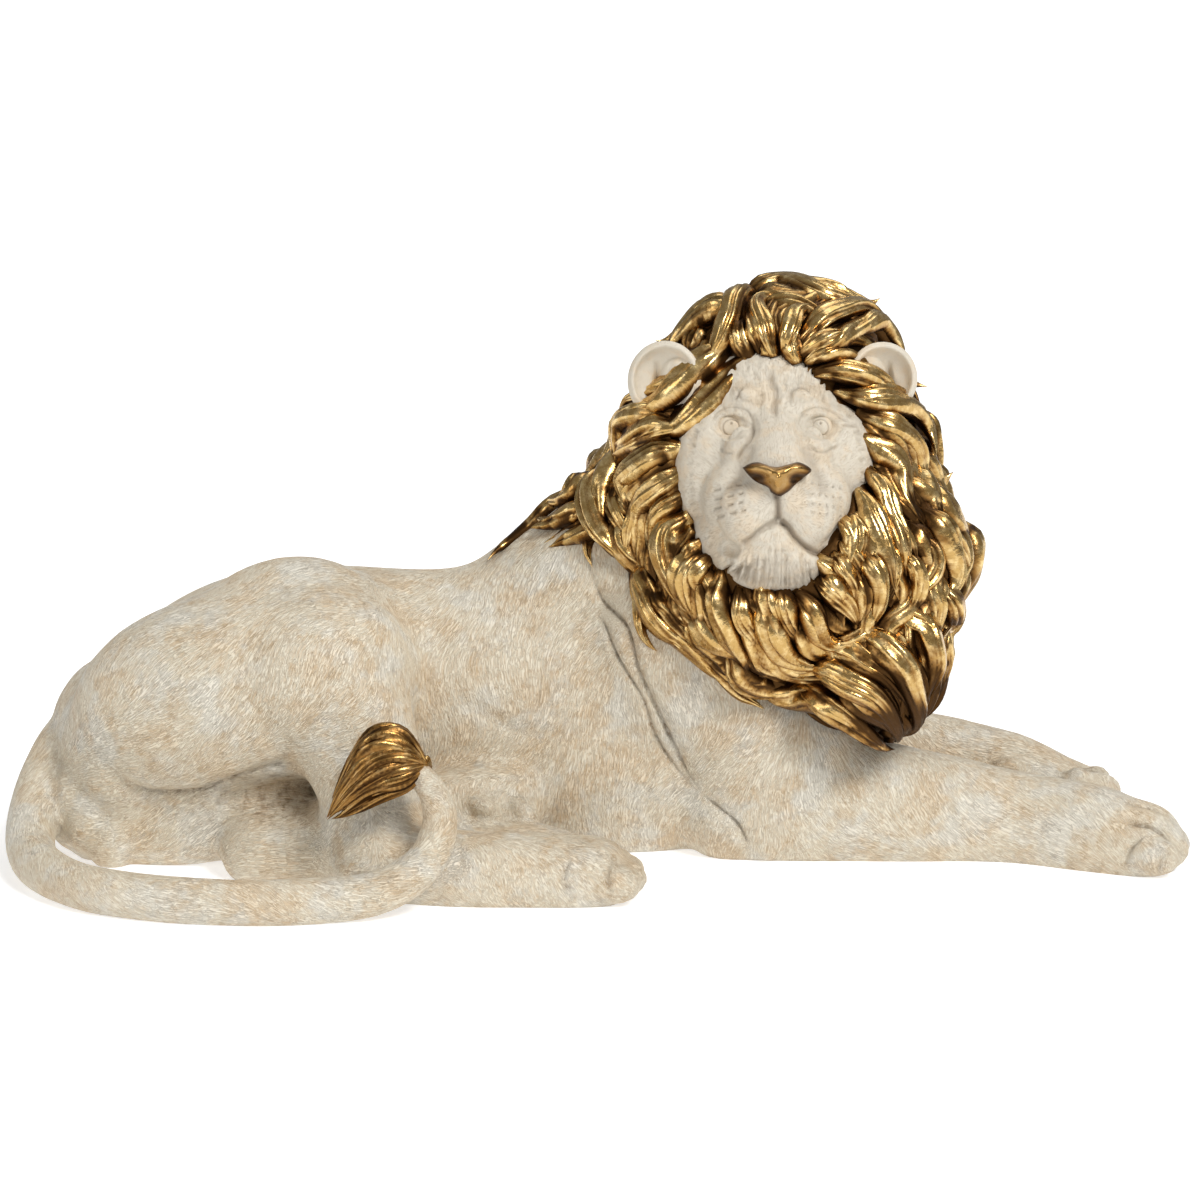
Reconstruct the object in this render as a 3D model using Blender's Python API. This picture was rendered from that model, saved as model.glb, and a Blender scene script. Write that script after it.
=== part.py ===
"""A reclining lion figurine, cast in one piece: coat, face, mane, tail and tail tuft.

The lion lies along X with its chest towards +X and turns its head to the side, towards -Y.
The origin is on the ground under the middle of the figure, and +Z is up.
"""

import math

import bmesh
import bpy
import numpy as np
from mathutils import Euler, Matrix, Vector
from mathutils.bvhtree import BVHTree

# Driving dimension, in metres: the length from the tail's outer bend to the front toes.
LENGTH = 0.600

# The pose, the proportions and the carving are shares of the length, written in
# six-hundredths of it: at this length one unit is one millimetre.
UNIT = LENGTH / 600

# Sculpting: the size of the voxels and how many times the skin over them is smoothed.
TRIANGLES = 9500
BODY_VOXEL = 3.6
FINE_VOXEL = 1.9
TRUNK_SMOOTHING = 30
BODY_SMOOTHING = 8
HEAD_SMOOTHING = 5
WHOLE_SMOOTHING = 1
# The underside's first cut, below the ground, that the thinning works against.
ROUGH_CUT = -3

CREAM = (0.72, 0.65, 0.51, 1)

# The head looks out of the figure's side and a little up.
HEAD_CENTRE = Vector((87.0, -1.8, 193.9))
HEAD_TILT = math.radians(14)
FACE_ACROSS = Vector((1, 0, 0))
FACE_UP = Vector((0, math.sin(HEAD_TILT), math.cos(HEAD_TILT)))
FACE_OUT = Vector((0, -math.cos(HEAD_TILT), math.sin(HEAD_TILT)))
HEAD_FRAME = Matrix((FACE_ACROSS, FACE_UP, FACE_OUT)).transposed().to_4x4()
HEAD_FRAME.translation = HEAD_CENTRE


def clear_scene():
    for thing in list(bpy.data.objects):
        bpy.data.objects.remove(thing)


def in_head(point):
    """A point given across, up and out of the face, in the figure's own frame."""
    return HEAD_FRAME @ Vector(point)


# Clay: closed shells laid over each other in one mesh, then fused.


def ball(clay, centre, radii, turn=(0, 0, 0), frame=None):
    """An ellipsoid. The turn is in degrees about its own X, Y and Z."""
    angles = Euler([math.radians(a) for a in turn])
    place = Matrix.LocRotScale(Vector(centre), angles, Vector(radii))
    if frame is not None:
        place = frame @ place
    bmesh.ops.create_uvsphere(clay, u_segments=24, v_segments=14, radius=1, matrix=place)


def eased(stations, per_span):
    """Points on a smooth curve through the stations, with whatever numbers each one has."""
    rows = np.array(stations, float)
    rows = np.vstack([2 * rows[0] - rows[1], rows, 2 * rows[-1] - rows[-2]])
    found = []
    for i in range(1, len(rows) - 2):
        a, b, c, d = rows[i - 1 : i + 3]
        for t in np.arange(per_span) / per_span:
            found.append(
                0.5 * (2 * b + (c - a) * t + (2 * a - 5 * b + 4 * c - d) * t**2)
                + 0.5 * (3 * b - a - 3 * c + d) * t**3
            )
    found.append(rows[-2])
    return np.array(found)


def skin_rings(clay, rings, start, end):
    """Faces between closed rings of points, with a point closing each end."""
    loops = [[clay.verts.new(p) for p in ring] for ring in rings]
    count = len(loops[0])
    for lower, upper in zip(loops, loops[1:]):
        for k in range(count):
            n = (k + 1) % count
            clay.faces.new((lower[k], lower[n], upper[n], upper[k]))
    first, last = clay.verts.new(start), clay.verts.new(end)
    for k in range(count):
        n = (k + 1) % count
        clay.faces.new((first, loops[0][n], loops[0][k]))
        clay.faces.new((last, loops[-1][k], loops[-1][n]))


def roll(clay, stations, up=(0, 0, 1), sides=18, per_span=5, frame=None):
    """A limb through stations of x, y, z, half width and half height, with rounded ends."""
    rows = eased(stations, per_span)
    centres, halves = rows[:, :3], rows[:, 3:]
    tangents = np.gradient(centres, axis=0)
    rings = []
    around = np.linspace(0, 2 * math.pi, sides, endpoint=False)

    def ring(centre, tangent, half_width, half_height):
        tangent = Vector(tangent).normalized()
        side = tangent.cross(Vector(up)).normalized()
        top = side.cross(tangent)
        return [
            Vector(centre) + side * (half_width * math.cos(a)) + top * (half_height * math.sin(a))
            for a in around
        ]

    def cap(row, outward):
        steps = []
        reach = min(halves[row])
        heading = Vector(tangents[row]).normalized() * outward
        for a in (0.35, 0.7, 1.0, 1.25):
            centre = Vector(centres[row]) + heading * reach * math.sin(a)
            steps.append(ring(centre, tangents[row], *(halves[row] * math.cos(a))))
        return steps, Vector(centres[row]) + heading * reach

    start_rings, start = cap(0, -1)
    end_rings, end = cap(-1, 1)
    rings = start_rings[::-1]
    rings += [ring(centres[i], tangents[i], *halves[i]) for i in range(len(rows))]
    rings += end_rings
    if frame is not None:
        rings = [[frame @ p for p in one] for one in rings]
        start, end = frame @ start, frame @ end
    skin_rings(clay, rings, start, end)


def shaped(mesh, add_modifiers):
    """The mesh as it comes out of the modifiers that the function adds to it."""
    thing = bpy.data.objects.new("shape", mesh)
    bpy.context.scene.collection.objects.link(thing)
    add_modifiers(thing)
    graph = bpy.context.evaluated_depsgraph_get()
    made = bpy.data.meshes.new_from_object(thing.evaluated_get(graph))
    bpy.data.objects.remove(thing)
    bpy.data.meshes.remove(mesh)
    return made


def fused(clay, voxel, smoothing):
    """The clay's overlapping shells as one closed skin, with its joins softened."""
    bmesh.ops.recalc_face_normals(clay, faces=clay.faces)
    mesh = bpy.data.meshes.new("clay")
    clay.to_mesh(mesh)
    clay.free()

    def add_fusing(thing):
        fuse = thing.modifiers.new("fuse", "REMESH")
        fuse.mode = "VOXEL"
        fuse.voxel_size = voxel
        soften = thing.modifiers.new("soften", "SMOOTH")
        soften.factor = 0.5
        soften.iterations = smoothing

    return shaped(mesh, add_fusing)


# The body's masses: the trunk with its haunches and shoulders, then the limbs.


def lay_trunk(clay):
    # Rump, ribs and chest
    roll(
        clay,
        [
            (-230, 50, 50, 45, 48),
            (-199, 54, 59, 55, 65),
            (-165, 56, 65, 61, 71),
            (-128, 56, 66, 62, 71),
            (-77, 56, 66, 61, 69),
            (-30, 56, 70, 61, 73),
            (30, 56, 72, 59, 74),
            (70, 54, 66, 51, 61),
        ],
    )
    ball(clay, (-240, 40, 55), (42, 46, 42), (0, -20, 0))
    ball(clay, (8, 28, 36), (80, 36, 48))
    # Neck
    roll(clay, [(-34, 62, 98, 50, 50), (16, 62, 135, 54, 52), (70, 50, 175, 52, 55)])
    # Near hip and thigh
    ball(clay, (-156, 24, 98), (60, 46, 52), (0, -12, 0))
    ball(clay, (-180, 4, 82), (88, 51, 56), (0, -8, 3))
    ball(clay, (-140, -2, 92), (50, 46, 50))
    ball(clay, (-222, 20, 58), (54, 44, 43), (0, -10, 0))
    ball(clay, (-238, 2, 42), (30, 28, 26), (0, 10, 0))
    # Far haunch
    ball(clay, (-185, 74, 58), (84, 44, 62), (0, -6, 0))
    # Shoulders and elbows
    ball(clay, (46, 14, 96), (46, 32, 60), (0, -30, 0))
    ball(clay, (84, 10, 52), (52, 34, 46), (0, 30, 0))
    ball(clay, (40, 88, 84), (50, 34, 60), (0, -20, 0))
    ball(clay, (84, 88, 50), (54, 30, 46), (0, 24, 0))
    # Chest below the mane
    ball(clay, (98, 46, 56), (42, 48, 50))


def lay_limbs(clay):
    # Near knee and shank, with its foot laid forward on the ground
    roll(
        clay,
        [
            (-146, -12, 96, 40, 42),
            (-124, -28, 74, 31, 33),
            (-114, -40, 46, 27, 27),
            (-112, -52, 12, 26, 22),
        ],
        up=(1, 0.4, 0),
    )
    roll(clay, [(-112, -60, 13, 24, 20), (-60, -68, 12, 23, 21), (-3, -68, 11, 23, 20)])
    # Far leg: its calf and hock under the haunch, its foot between the near foot and the belly
    roll(clay, [(-254, 2, 16, 20, 20), (-215, -8, 17, 18, 20), (-165, -16, 34, 20, 26)])
    roll(clay, [(-172, -34, 13, 18, 20), (-140, -30, 16, 19, 20), (-95, -24, 24, 17, 23)])
    roll(clay, [(-95, -20, 26, 16, 20), (-62, -12, 29, 15, 21), (-42, -8, 28, 12, 19)])
    ball(clay, (-48, -32, 10), (46, 26, 17))
    # Near foreleg
    ball(clay, (82, 6, 20), (22, 18, 20))
    roll(
        clay,
        [
            (66, 10, 24, 26, 33),
            (105, 8, 27, 27, 36),
            (151, 8, 23, 26, 33),
            (208, 4, 17, 21, 27),
            (245, -9, 15, 22, 26),
            (272, -18, 12, 23, 22),
        ],
    )
    # Far foreleg
    roll(
        clay,
        [
            (70, 88, 28, 26, 28),
            (110, 88, 31, 26, 31),
            (151, 88, 25, 24, 30),
            (200, 86, 20, 20, 25),
            (222, 85, 16, 20, 22),
            (240, 83, 12, 21, 17),
            (254, 82, 9, 21, 14),
        ],
    )


def lay_toes(clay, centre, heading, spread, size):
    """Four toes across the front of a paw, the middle two further forward."""
    ahead = Vector((math.cos(heading), math.sin(heading), 0))
    across = Vector((-ahead.y, ahead.x, 0))
    for k in range(4):
        offset = k - 1.5
        reach = -2.5 * abs(offset) ** 1.5
        place = Vector(centre) + across * offset * spread + ahead * reach
        ball(clay, place, (size * 1.5, size, size * 1.15), (0, 0, math.degrees(heading)))


def lay_details(clay):
    lay_toes(clay, (284, -20, 11), math.radians(-8), 11.5, 8.8)
    lay_toes(clay, (261, 81, 9), math.radians(-4), 11, 8.6)
    lay_toes(clay, (11, -68, 11), math.radians(4), 10.6, 8.6)
    # Dewclaw inside the far wrist
    ball(clay, (214, 66, 24), (8, 5, 6))
    # Pads of the far hind foot
    ball(clay, (-58, -28, 34), (9, 5, 5), (0, 30, 0))
    ball(clay, (-38, -23, 30), (8, 5, 5), (0, 50, 0))
    ball(clay, (-62, -29, 22), (13, 5, 5), (0, -10, 0))
    # Smooth lump and web under the root of the tail
    ball(clay, (-257, -6, 20), (14, 15, 17))
    ball(clay, (-246, -14, 11), (13, 11, 14))
    ball(clay, (-264, 10, 24), (18, 24, 24))


TAIL_ROUTE = [
    (-262, 42, 58, 16, 16),
    (-276, 28, 44, 15, 15),
    (-285, 4, 26, 13.5, 13.5),
    (-285, -28, 14, 12.5, 12.5),
    (-274, -60, 11, 12, 12),
    (-246, -91, 10.5, 11.5, 11.5),
    (-196, -108, 10, 11, 11.5),
    (-146, -109, 10, 11, 11.5),
    (-108, -103, 13, 11, 11),
    (-86, -95, 25, 10, 10),
    (-78, -88, 42, 9, 9),
    (-81, -84, 57, 7.5, 7.5),
    (-90, -82, 69, 6, 6),
]
TUFT_START = Vector((-86, -82, 70))
TUFT_TIP = Vector((-134, -84, 46))
TUFT_STRANDS = 7
TUFT_RISE = 31.0
TUFT_DROP = 2.0


def lay_tail(clay):
    roll(clay, TAIL_ROUTE, up=(0.05, 0.3, 1), sides=14)
    # The tuft's strands fan out from the end of the tail and meet again at its tip
    along = TUFT_TIP - TUFT_START
    for k in range(TUFT_STRANDS):
        share = k / (TUFT_STRANDS - 1)
        rise = TUFT_RISE * share - TUFT_DROP
        forward = -7 * math.sin(math.pi * (0.15 + 0.6 * share))
        stations = []
        for t, height, swell in ((0.04, 0.15, 3), (0.3, 0.8, 6), (0.62, 1.0, 6.5), (0.88, 0.55, 5)):
            spot = TUFT_START + along * t
            stations.append(
                (spot.x - 3 * share * t, spot.y + forward * height, spot.z + rise * height, swell, swell)
            )
        stations.append((*TUFT_TIP, 2.6, 2.6))
        roll(clay, stations, sides=10)


# Mane: a fused collar laid over with curling locks, round a face with an ellipse for outline.

EAR_ACROSS = 55.0
EAR_UP = 55.0
EAR_OUT = 5.0
EAR_CLEARANCE = 17.0

FACE_HALF_WIDTH = 45.0
FACE_HALF_HEIGHT = 58.0
FACE_MIDDLE = 6.0

MANE_TIP = (64.0, -132.0)
LOCK_RINGS = 6
FIRST_RING_LOCKS = 18
LOCKS_PER_RING_MORE = 4
FIRST_RING_SIZE = 1.06
RING_GROWTH = 0.3
RING_FRONT = 6
RING_STEP_BACK = 20
NAPE_ROWS = 7
NAPE_ROW_LOCKS = 8
NAPE_SPACING = 19.0
NAPE_STEP = 27.0
NAPE_TOP = 88
NAPE_SHIFT = 0.175 * NAPE_STEP
NAPE_BACK = -130
LOCK_LENGTH = 52.0
LOCK_LENGTH_SPREAD = 8
LOCK_WIDTH = 19.0
LOCK_WIDTH_SPREAD = 2.5
LOCK_BEND = (-0.5, 0.6)
LOCK_LIFT = 7.0
# A lock's outline across its run: a ridge on the collar, in half widths and half heights.
LOCK_SECTION = ((-1, -0.5), (-0.5, 0.6), (0, 1), (0.5, 0.6), (1, -0.5), (0, -1.8))


def lay_collar(clay):
    """The mass under the mane's locks."""
    ball(clay, (2, 6, -44), (77, 78, 60), frame=HEAD_FRAME)
    ball(clay, (6, 48, -42), (56, 50, 52), frame=HEAD_FRAME)
    ball(clay, (16, -40, -26), (78, 60, 56), frame=HEAD_FRAME)
    ball(clay, (50, -92, -14), (34, 34, 34), frame=HEAD_FRAME)
    ball(clay, (118, 16, 118), (54, 38, 52), (0, -25, 0))
    ball(clay, (34, 58, 160), (54, 54, 44), (0, -30, 0))


def flow(local):
    """Which way the hair runs at a point across, up and out of the face, in the same terms."""
    away = Vector((local.x, local.y - FACE_MIDDLE, 0))
    away = away.normalized() if away.length > 1 else Vector((0, 1, 0))
    crown = max(0.0, away.y) ** 1.5
    side = 1 if local.x > -8 else -1
    sweep = Vector((side * 0.8 * crown + 0.12, -0.9 * (1 - crown), -0.4 * crown - 0.1))
    heading = (away * (0.65 - 0.3 * crown) + sweep).normalized()
    behind = min(1.0, max(0.0, (-45 - local.z) / 30))
    heading = (heading * (1 - behind) + Vector((-0.45, -1, -0.2)) * behind).normalized()
    low = min(1.0, max(0.0, (-20 - local.y) / 50))
    point = Vector((MANE_TIP[0] - local.x, MANE_TIP[1] - local.y, 0)).normalized()
    return (heading * (1 - 0.7 * low) + point * 0.7 * low).normalized()


def lock(clay, tree, root, length, width, bend, phase, lift, stations=9):
    """One tapering lock that runs over the collar from its root, bending one way and back."""
    into = HEAD_FRAME.inverted()
    spot, normal, _, _ = tree.find_nearest(root)
    centres, normals = [], []
    step = length / stations
    for k in range(stations + 1):
        t = k / stations
        rise = lift * (math.sin(math.pi * (0.12 + 0.7 * t)) + 0.5 * t**4)
        centres.append(spot + normal * rise)
        normals.append(normal)
        heading = HEAD_FRAME.to_3x3() @ flow(into @ spot)
        swing = bend * math.sin(1.6 * math.pi * t + phase)
        heading = Matrix.Rotation(swing, 3, normal) @ heading
        heading -= normal * heading.dot(normal)
        spot, normal, _, _ = tree.find_nearest(spot + heading.normalized() * step)
    rings = []
    for k in range(1, stations):
        t = k / stations
        ahead = (centres[k + 1] - centres[k - 1]).normalized()
        side = ahead.cross(normals[k]).normalized()
        top = side.cross(ahead)
        half = 0.5 * width * math.sin(math.pi * t**0.8) ** 0.7
        high = 0.75 * half + 0.8
        rings.append([centres[k] + side * x * half + top * y * high for x, y in LOCK_SECTION])
    skin_rings(clay, rings, centres[0], centres[-1])


def lay_mane(clay, collar):
    """Locks in staggered rings round the face, then in rows down the back of the head."""
    tree = BVHTree.FromPolygons(
        [v.co.copy() for v in collar.vertices], [list(p.vertices) for p in collar.polygons]
    )
    roots = []
    for ring in range(LOCK_RINGS):
        grow = FIRST_RING_SIZE + RING_GROWTH * ring
        count = FIRST_RING_LOCKS + LOCKS_PER_RING_MORE * ring
        for k in range(count):
            turn = 2 * math.pi * (k + 0.5 * (ring % 2)) / count
            across = math.sin(turn) * FACE_HALF_WIDTH * grow
            up = FACE_MIDDLE + math.cos(turn) * FACE_HALF_HEIGHT * grow
            if math.hypot(abs(across) - EAR_ACROSS, up - EAR_UP) > EAR_CLEARANCE:
                roots.append(in_head((across, up, RING_FRONT - RING_STEP_BACK * ring)))
    for row in range(NAPE_ROWS):
        for k in range(NAPE_ROW_LOCKS):
            across = (k + 0.5 * (row % 2) - 0.5 * (NAPE_ROW_LOCKS - 1)) * NAPE_SPACING
            up = NAPE_TOP - row * NAPE_STEP
            roots.append(in_head((across - row * NAPE_SHIFT, up, NAPE_BACK)))
    for k, root in enumerate(roots):
        sway = math.sin(7.3 * k)
        lock(
            clay,
            tree,
            root,
            length=LOCK_LENGTH + LOCK_LENGTH_SPREAD * sway,
            width=LOCK_WIDTH + LOCK_WIDTH_SPREAD * sway,
            bend=LOCK_BEND[k % 2],
            phase=0.7 * sway,
            lift=LOCK_LIFT,
        )


# Head

EYE_ACROSS = 22.0
EYE_UP = 27.0


def lay_head(clay):
    def mass(centre, radii, turn=(0, 0, 0)):
        ball(clay, centre, radii, turn, HEAD_FRAME)

    # Skull, cheeks, brows, muzzle, bridge of the nose, chin and jaw
    mass((0, 22, -22), (44, 50, 42))
    for side in (-1, 1):
        mass((side * 23, 6, 2), (21, 27, 20))
        mass((side * 14.5, -14, 33.5), (17.5, 19, 18))
        mass((side * 13, 42, 10), (10, 7, 8))
    mass((0, -6, 38), (13, 15, 15))
    roll(
        clay,
        [(0, 40, 6, 13, 10), (0, 26, 17, 13.5, 10), (0, 14, 32, 14, 10), (0, 6, 41, 14, 9)],
        up=(0, 1, 1),
        frame=HEAD_FRAME,
    )
    mass((0, -40, 25), (24, 14.5, 18))
    mass((0, -27, 8), (33, 27, 28))


def lay_face(clay):
    def mass(centre, radii, turn=(0, 0, 0)):
        ball(clay, centre, radii, turn, HEAD_FRAME)

    # Nose
    mass((0, 4.5, 50), (16, 5.5, 8))
    mass((0, -3, 52), (6.5, 6.5, 7))
    for side in (-1, 1):
        # Eye with its lids
        mass((side * EYE_ACROSS, EYE_UP, 13), (6.2, 6.2, 6.2))
        for rise in (1, -1):
            roll(
                clay,
                [
                    (side * (EYE_ACROSS - 9), EYE_UP - 3, 15, 2, 1.6),
                    (side * EYE_ACROSS, EYE_UP + 6 * rise, 19.5, 2, 1.6),
                    (side * (EYE_ACROSS + 10), EYE_UP + 1, 12, 2, 1.6),
                ],
                up=(0, 0, 1),
                sides=10,
                frame=HEAD_FRAME,
            )
        # Ear
        mass((side * EAR_ACROSS, EAR_UP, EAR_OUT), (17.5, 17.5, 8), (-8, side * 24, side * -20))
        roll(
            clay,
            [
                (side * (EAR_ACROSS - 3), EAR_UP - 8, EAR_OUT - 8, 12, 12),
                (side * (EAR_ACROSS - 14), EAR_UP - 20, EAR_OUT - 26, 14, 14),
            ],
            frame=HEAD_FRAME,
        )


# Carving: the skin's points are moved, and none are added.


def coordinates(mesh):
    flat = np.empty(len(mesh.vertices) * 3)
    mesh.vertices.foreach_get("co", flat)
    return flat.reshape(-1, 3)


def outwards(mesh):
    flat = np.empty(len(mesh.vertices) * 3)
    mesh.vertices.foreach_get("normal", flat)
    return flat.reshape(-1, 3)


def reshape(mesh, points):
    mesh.vertices.foreach_set("co", points.ravel())
    mesh.update()


def near(points, centre, radii, frame=None):
    """How strongly a soft round brush at this centre takes each point, from 1 down to 0."""
    place = Matrix.LocRotScale(Vector(centre), None, Vector(radii))
    if frame is not None:
        place = frame @ place
    back = np.array(place.inverted())
    local = points @ back[:3, :3].T + back[:3, 3]
    reach = np.clip(1 - (local**2).sum(axis=1), 0, 1)
    return reach**1.5


def dent(points, centre, radii, push, frame=None):
    """Moves the points under a soft brush by the push, which is in the same frame as the centre."""
    move = Vector(push)
    if frame is not None:
        move = frame.to_3x3() @ move
    points += near(points, centre, radii, frame)[:, None] * np.array(move)


def crease(points, normals, route, width, depth):
    """A soft groove under a route of points lying on the skin."""
    way = eased(route, 6)
    starts, spans = way[:-1], np.diff(way, axis=0)
    low, high = way.min(axis=0) - width, way.max(axis=0) + width
    close = np.flatnonzero(((points > low) & (points < high)).all(axis=1))
    if not len(close):
        return
    gaps = points[close, None] - starts
    along = np.clip((gaps * spans).sum(axis=2) / (spans**2).sum(axis=1), 0, 1)
    away = np.linalg.norm(gaps - along[..., None] * spans, axis=2)
    best = away.argmin(axis=1)
    rows = np.arange(len(close))
    reached = (best + along[rows, best]) / len(spans)
    fade = np.clip(np.minimum(reached, 1 - reached) * 6, 0, 1)
    bite = depth * fade * np.exp(-((away[rows, best] / (0.5 * width)) ** 2))
    points[close] -= normals[close] * bite[:, None]


def laid_on(tree, route, ahead):
    """The route moved along a direction until it meets the skin."""
    ahead = Vector(ahead)
    found = [tree.ray_cast(Vector(p) - ahead * 400, ahead)[0] for p in route]
    return [tuple(p) for p in found if p is not None]


def carve(mesh):
    points, normals = coordinates(mesh), outwards(mesh)
    tree = BVHTree.FromPolygons(points.tolist(), [list(p.vertices) for p in mesh.polygons])

    def side_crease(route, width, depth):
        on_skin = laid_on(tree, [(x, 0, z) for x, z in route], (0, 1, 0))
        crease(points, normals, on_skin, width, depth)

    def face_crease(route, width, depth):
        outward = HEAD_FRAME.to_3x3() @ Vector((0, 0, 1))
        on_skin = laid_on(tree, [in_head((u, v, 0)) for u, v in route], -outward)
        crease(points, normals, on_skin, width, depth)

    # Skin folds behind the shoulder and at the elbow
    side_crease([(-6, 150), (0, 132), (12, 121), (18, 99), (28, 80), (40, 53), (51, 36)], 7, 3.2)
    side_crease([(-8, 132), (9, 108), (21, 89), (27, 68), (36, 53), (50, 37)], 5, 2)
    side_crease([(51, 36), (68, 22), (75, 8)], 6, 2.5)
    side_crease([(-68, 84), (-56, 74), (-38, 65), (-22, 64)], 7, 1.8)
    # Hollow inside each ear
    for side in (-1, 1):
        centre = (side * (EAR_ACROSS + 1), EAR_UP - 2, EAR_OUT + 6)
        dent(points, centre, (14.5, 14, 14), (side * -1, -1, -9), HEAD_FRAME)
        # Inner eye corner, mouth and nostril
        dent(points, (side * 11, 27, 20), (6, 6, 10), (0, 0, -4), HEAD_FRAME)
        face_crease([(0, -19), (side * 10, -27), (side * 20, -31), (side * 27, -30)], 5, 3.5)
        dent(points, (side * 10, 2.5, 56), (4, 3.5, 6), (0, 0, -3), HEAD_FRAME)
    face_crease([(0, -7), (0, -20)], 4, 3)
    face_crease([(0, 62), (0, 30)], 5, 2)
    reshape(mesh, points)


# The finished piece


def cut_flat(mesh, level):
    """Cuts the piece off flat at a level above the ground and closes it there."""
    skin = bmesh.new()
    skin.from_mesh(mesh)
    cut = bmesh.ops.bisect_plane(
        skin,
        geom=skin.verts[:] + skin.edges[:] + skin.faces[:],
        plane_co=(0, 0, level),
        plane_no=(0, 0, -1),
        clear_outer=True,
    )
    rim = [e for e in cut["geom_cut"] if isinstance(e, bmesh.types.BMEdge)]
    bmesh.ops.holes_fill(skin, edges=rim, sides=0)
    bmesh.ops.triangulate(skin, faces=skin.faces)
    skin.to_mesh(mesh)
    skin.free()


def painted():
    """Cream paint with an ochre wash, as on the coat and face."""
    paint = bpy.data.materials.new("cream_paint")
    paint.use_nodes = True
    shader = paint.node_tree.nodes["Principled BSDF"]
    shader.inputs["Base Color"].default_value = CREAM
    shader.inputs["Roughness"].default_value = 0.6
    shader.inputs["Metallic"].default_value = 0.0
    return paint


def main():
    clear_scene()
    clay = bmesh.new()
    lay_trunk(clay)
    trunk = fused(clay, BODY_VOXEL, TRUNK_SMOOTHING)
    clay = bmesh.new()
    lay_limbs(clay)
    clay.from_mesh(trunk)
    body = fused(clay, BODY_VOXEL, BODY_SMOOTHING)
    clay = bmesh.new()
    lay_collar(clay)
    collar = fused(clay, BODY_VOXEL, BODY_SMOOTHING)
    clay = bmesh.new()
    lay_head(clay)
    head = fused(clay, FINE_VOXEL, HEAD_SMOOTHING)

    clay = bmesh.new()
    lay_details(clay)
    lay_face(clay)
    lay_tail(clay)
    lay_mane(clay, collar)
    for mass in (body, collar, head):
        clay.from_mesh(mass)
    whole = fused(clay, FINE_VOXEL, WHOLE_SMOOTHING)
    carve(whole)

    # The triangles are thinned with some of the underside still on, so the last cut is true
    cut_flat(whole, ROUGH_CUT)
    count = len(whole.polygons)

    def add_thinning(thing):
        thing.modifiers.new("thin", "DECIMATE").ratio = TRIANGLES / count

    whole = shaped(whole, add_thinning)
    cut_flat(whole, 0)
    whole.transform(Matrix.Scale(UNIT, 4))
    whole.materials.append(painted())
    lion = bpy.data.objects.new("lion", whole)
    bpy.context.scene.collection.objects.link(lion)


main()
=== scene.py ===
"""The lion figurine: a cream coat carved with fur, a smooth face and ears, and a gilt mane,
nose and tail tuft. Shapes are laid in millimetres and brought to metres when finished. A mass is
laid as clay, shells over each other in one open mesh, and then fused into one skin and carved."""

import itertools
import math
from contextlib import contextmanager

import bmesh
import bpy
import numpy as np
from mathutils import Euler, Matrix, Vector
from mathutils.bvhtree import BVHTree
from mathutils.kdtree import KDTree


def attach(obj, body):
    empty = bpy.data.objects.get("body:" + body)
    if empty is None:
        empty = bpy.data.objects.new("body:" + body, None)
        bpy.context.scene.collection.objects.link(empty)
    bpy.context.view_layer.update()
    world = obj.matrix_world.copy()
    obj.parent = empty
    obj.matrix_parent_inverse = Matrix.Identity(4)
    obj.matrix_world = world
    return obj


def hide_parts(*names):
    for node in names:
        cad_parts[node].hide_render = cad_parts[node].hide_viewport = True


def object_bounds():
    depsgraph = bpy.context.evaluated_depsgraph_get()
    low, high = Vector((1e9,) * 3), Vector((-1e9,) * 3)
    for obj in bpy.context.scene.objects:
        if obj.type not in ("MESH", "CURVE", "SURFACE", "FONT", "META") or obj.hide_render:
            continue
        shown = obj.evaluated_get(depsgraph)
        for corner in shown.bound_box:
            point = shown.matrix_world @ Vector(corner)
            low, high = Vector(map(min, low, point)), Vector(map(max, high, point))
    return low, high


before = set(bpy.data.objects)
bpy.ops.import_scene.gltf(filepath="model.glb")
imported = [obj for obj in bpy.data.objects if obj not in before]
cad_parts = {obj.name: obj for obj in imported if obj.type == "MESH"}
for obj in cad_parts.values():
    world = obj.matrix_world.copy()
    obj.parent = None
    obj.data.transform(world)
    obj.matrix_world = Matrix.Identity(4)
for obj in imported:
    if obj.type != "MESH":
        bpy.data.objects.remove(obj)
cad_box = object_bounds()

MM = 0.001

# The head looks out of the figure's side and a little up. Its own frame runs across the face (u),
# up it (v) and out of it (w).
HEAD_CENTRE = Vector((87.0, -1.8, 193.9))
HEAD_TILT = math.radians(14)
FACE_OUT = Vector((0, -math.cos(HEAD_TILT), math.sin(HEAD_TILT)))
HEAD_FRAME = Matrix(
    ((1, 0, 0), (0, math.sin(HEAD_TILT), math.cos(HEAD_TILT)), FACE_OUT)
).transposed().to_4x4()
HEAD_FRAME.translation = HEAD_CENTRE
INTO_HEAD = HEAD_FRAME.inverted()
HEAD_TURN = HEAD_FRAME.to_3x3()

BODY_VOXEL = 3.6
COAT_VOXEL = 2.3
FACE_VOXEL = 0.7
CARRIER_VOXEL = 3.0

# Rounds of smoothing after each fusing
TRUNK_SMOOTHING = 30
BODY_SMOOTHING = 8
COAT_SMOOTHING = 2
FACE_SMOOTHING = 100
CARRIER_SMOOTHING = 3

FAR_OUT = 400.0  # from where rays are cast at the figure
FRONT_OUT = 200.0  # and at the front of the head


def in_head(point):
    return HEAD_FRAME @ Vector(point)


def taken(points, place):
    """The points taken through a matrix."""
    turn = np.array(place)
    return points @ turn[:3, :3].T + turn[:3, 3]


def ramp(values, low, high):
    """0 at low, 1 at high, straight between and level beyond. High may be the smaller one."""
    return np.clip((values - low) / (high - low), 0, 1)


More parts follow.
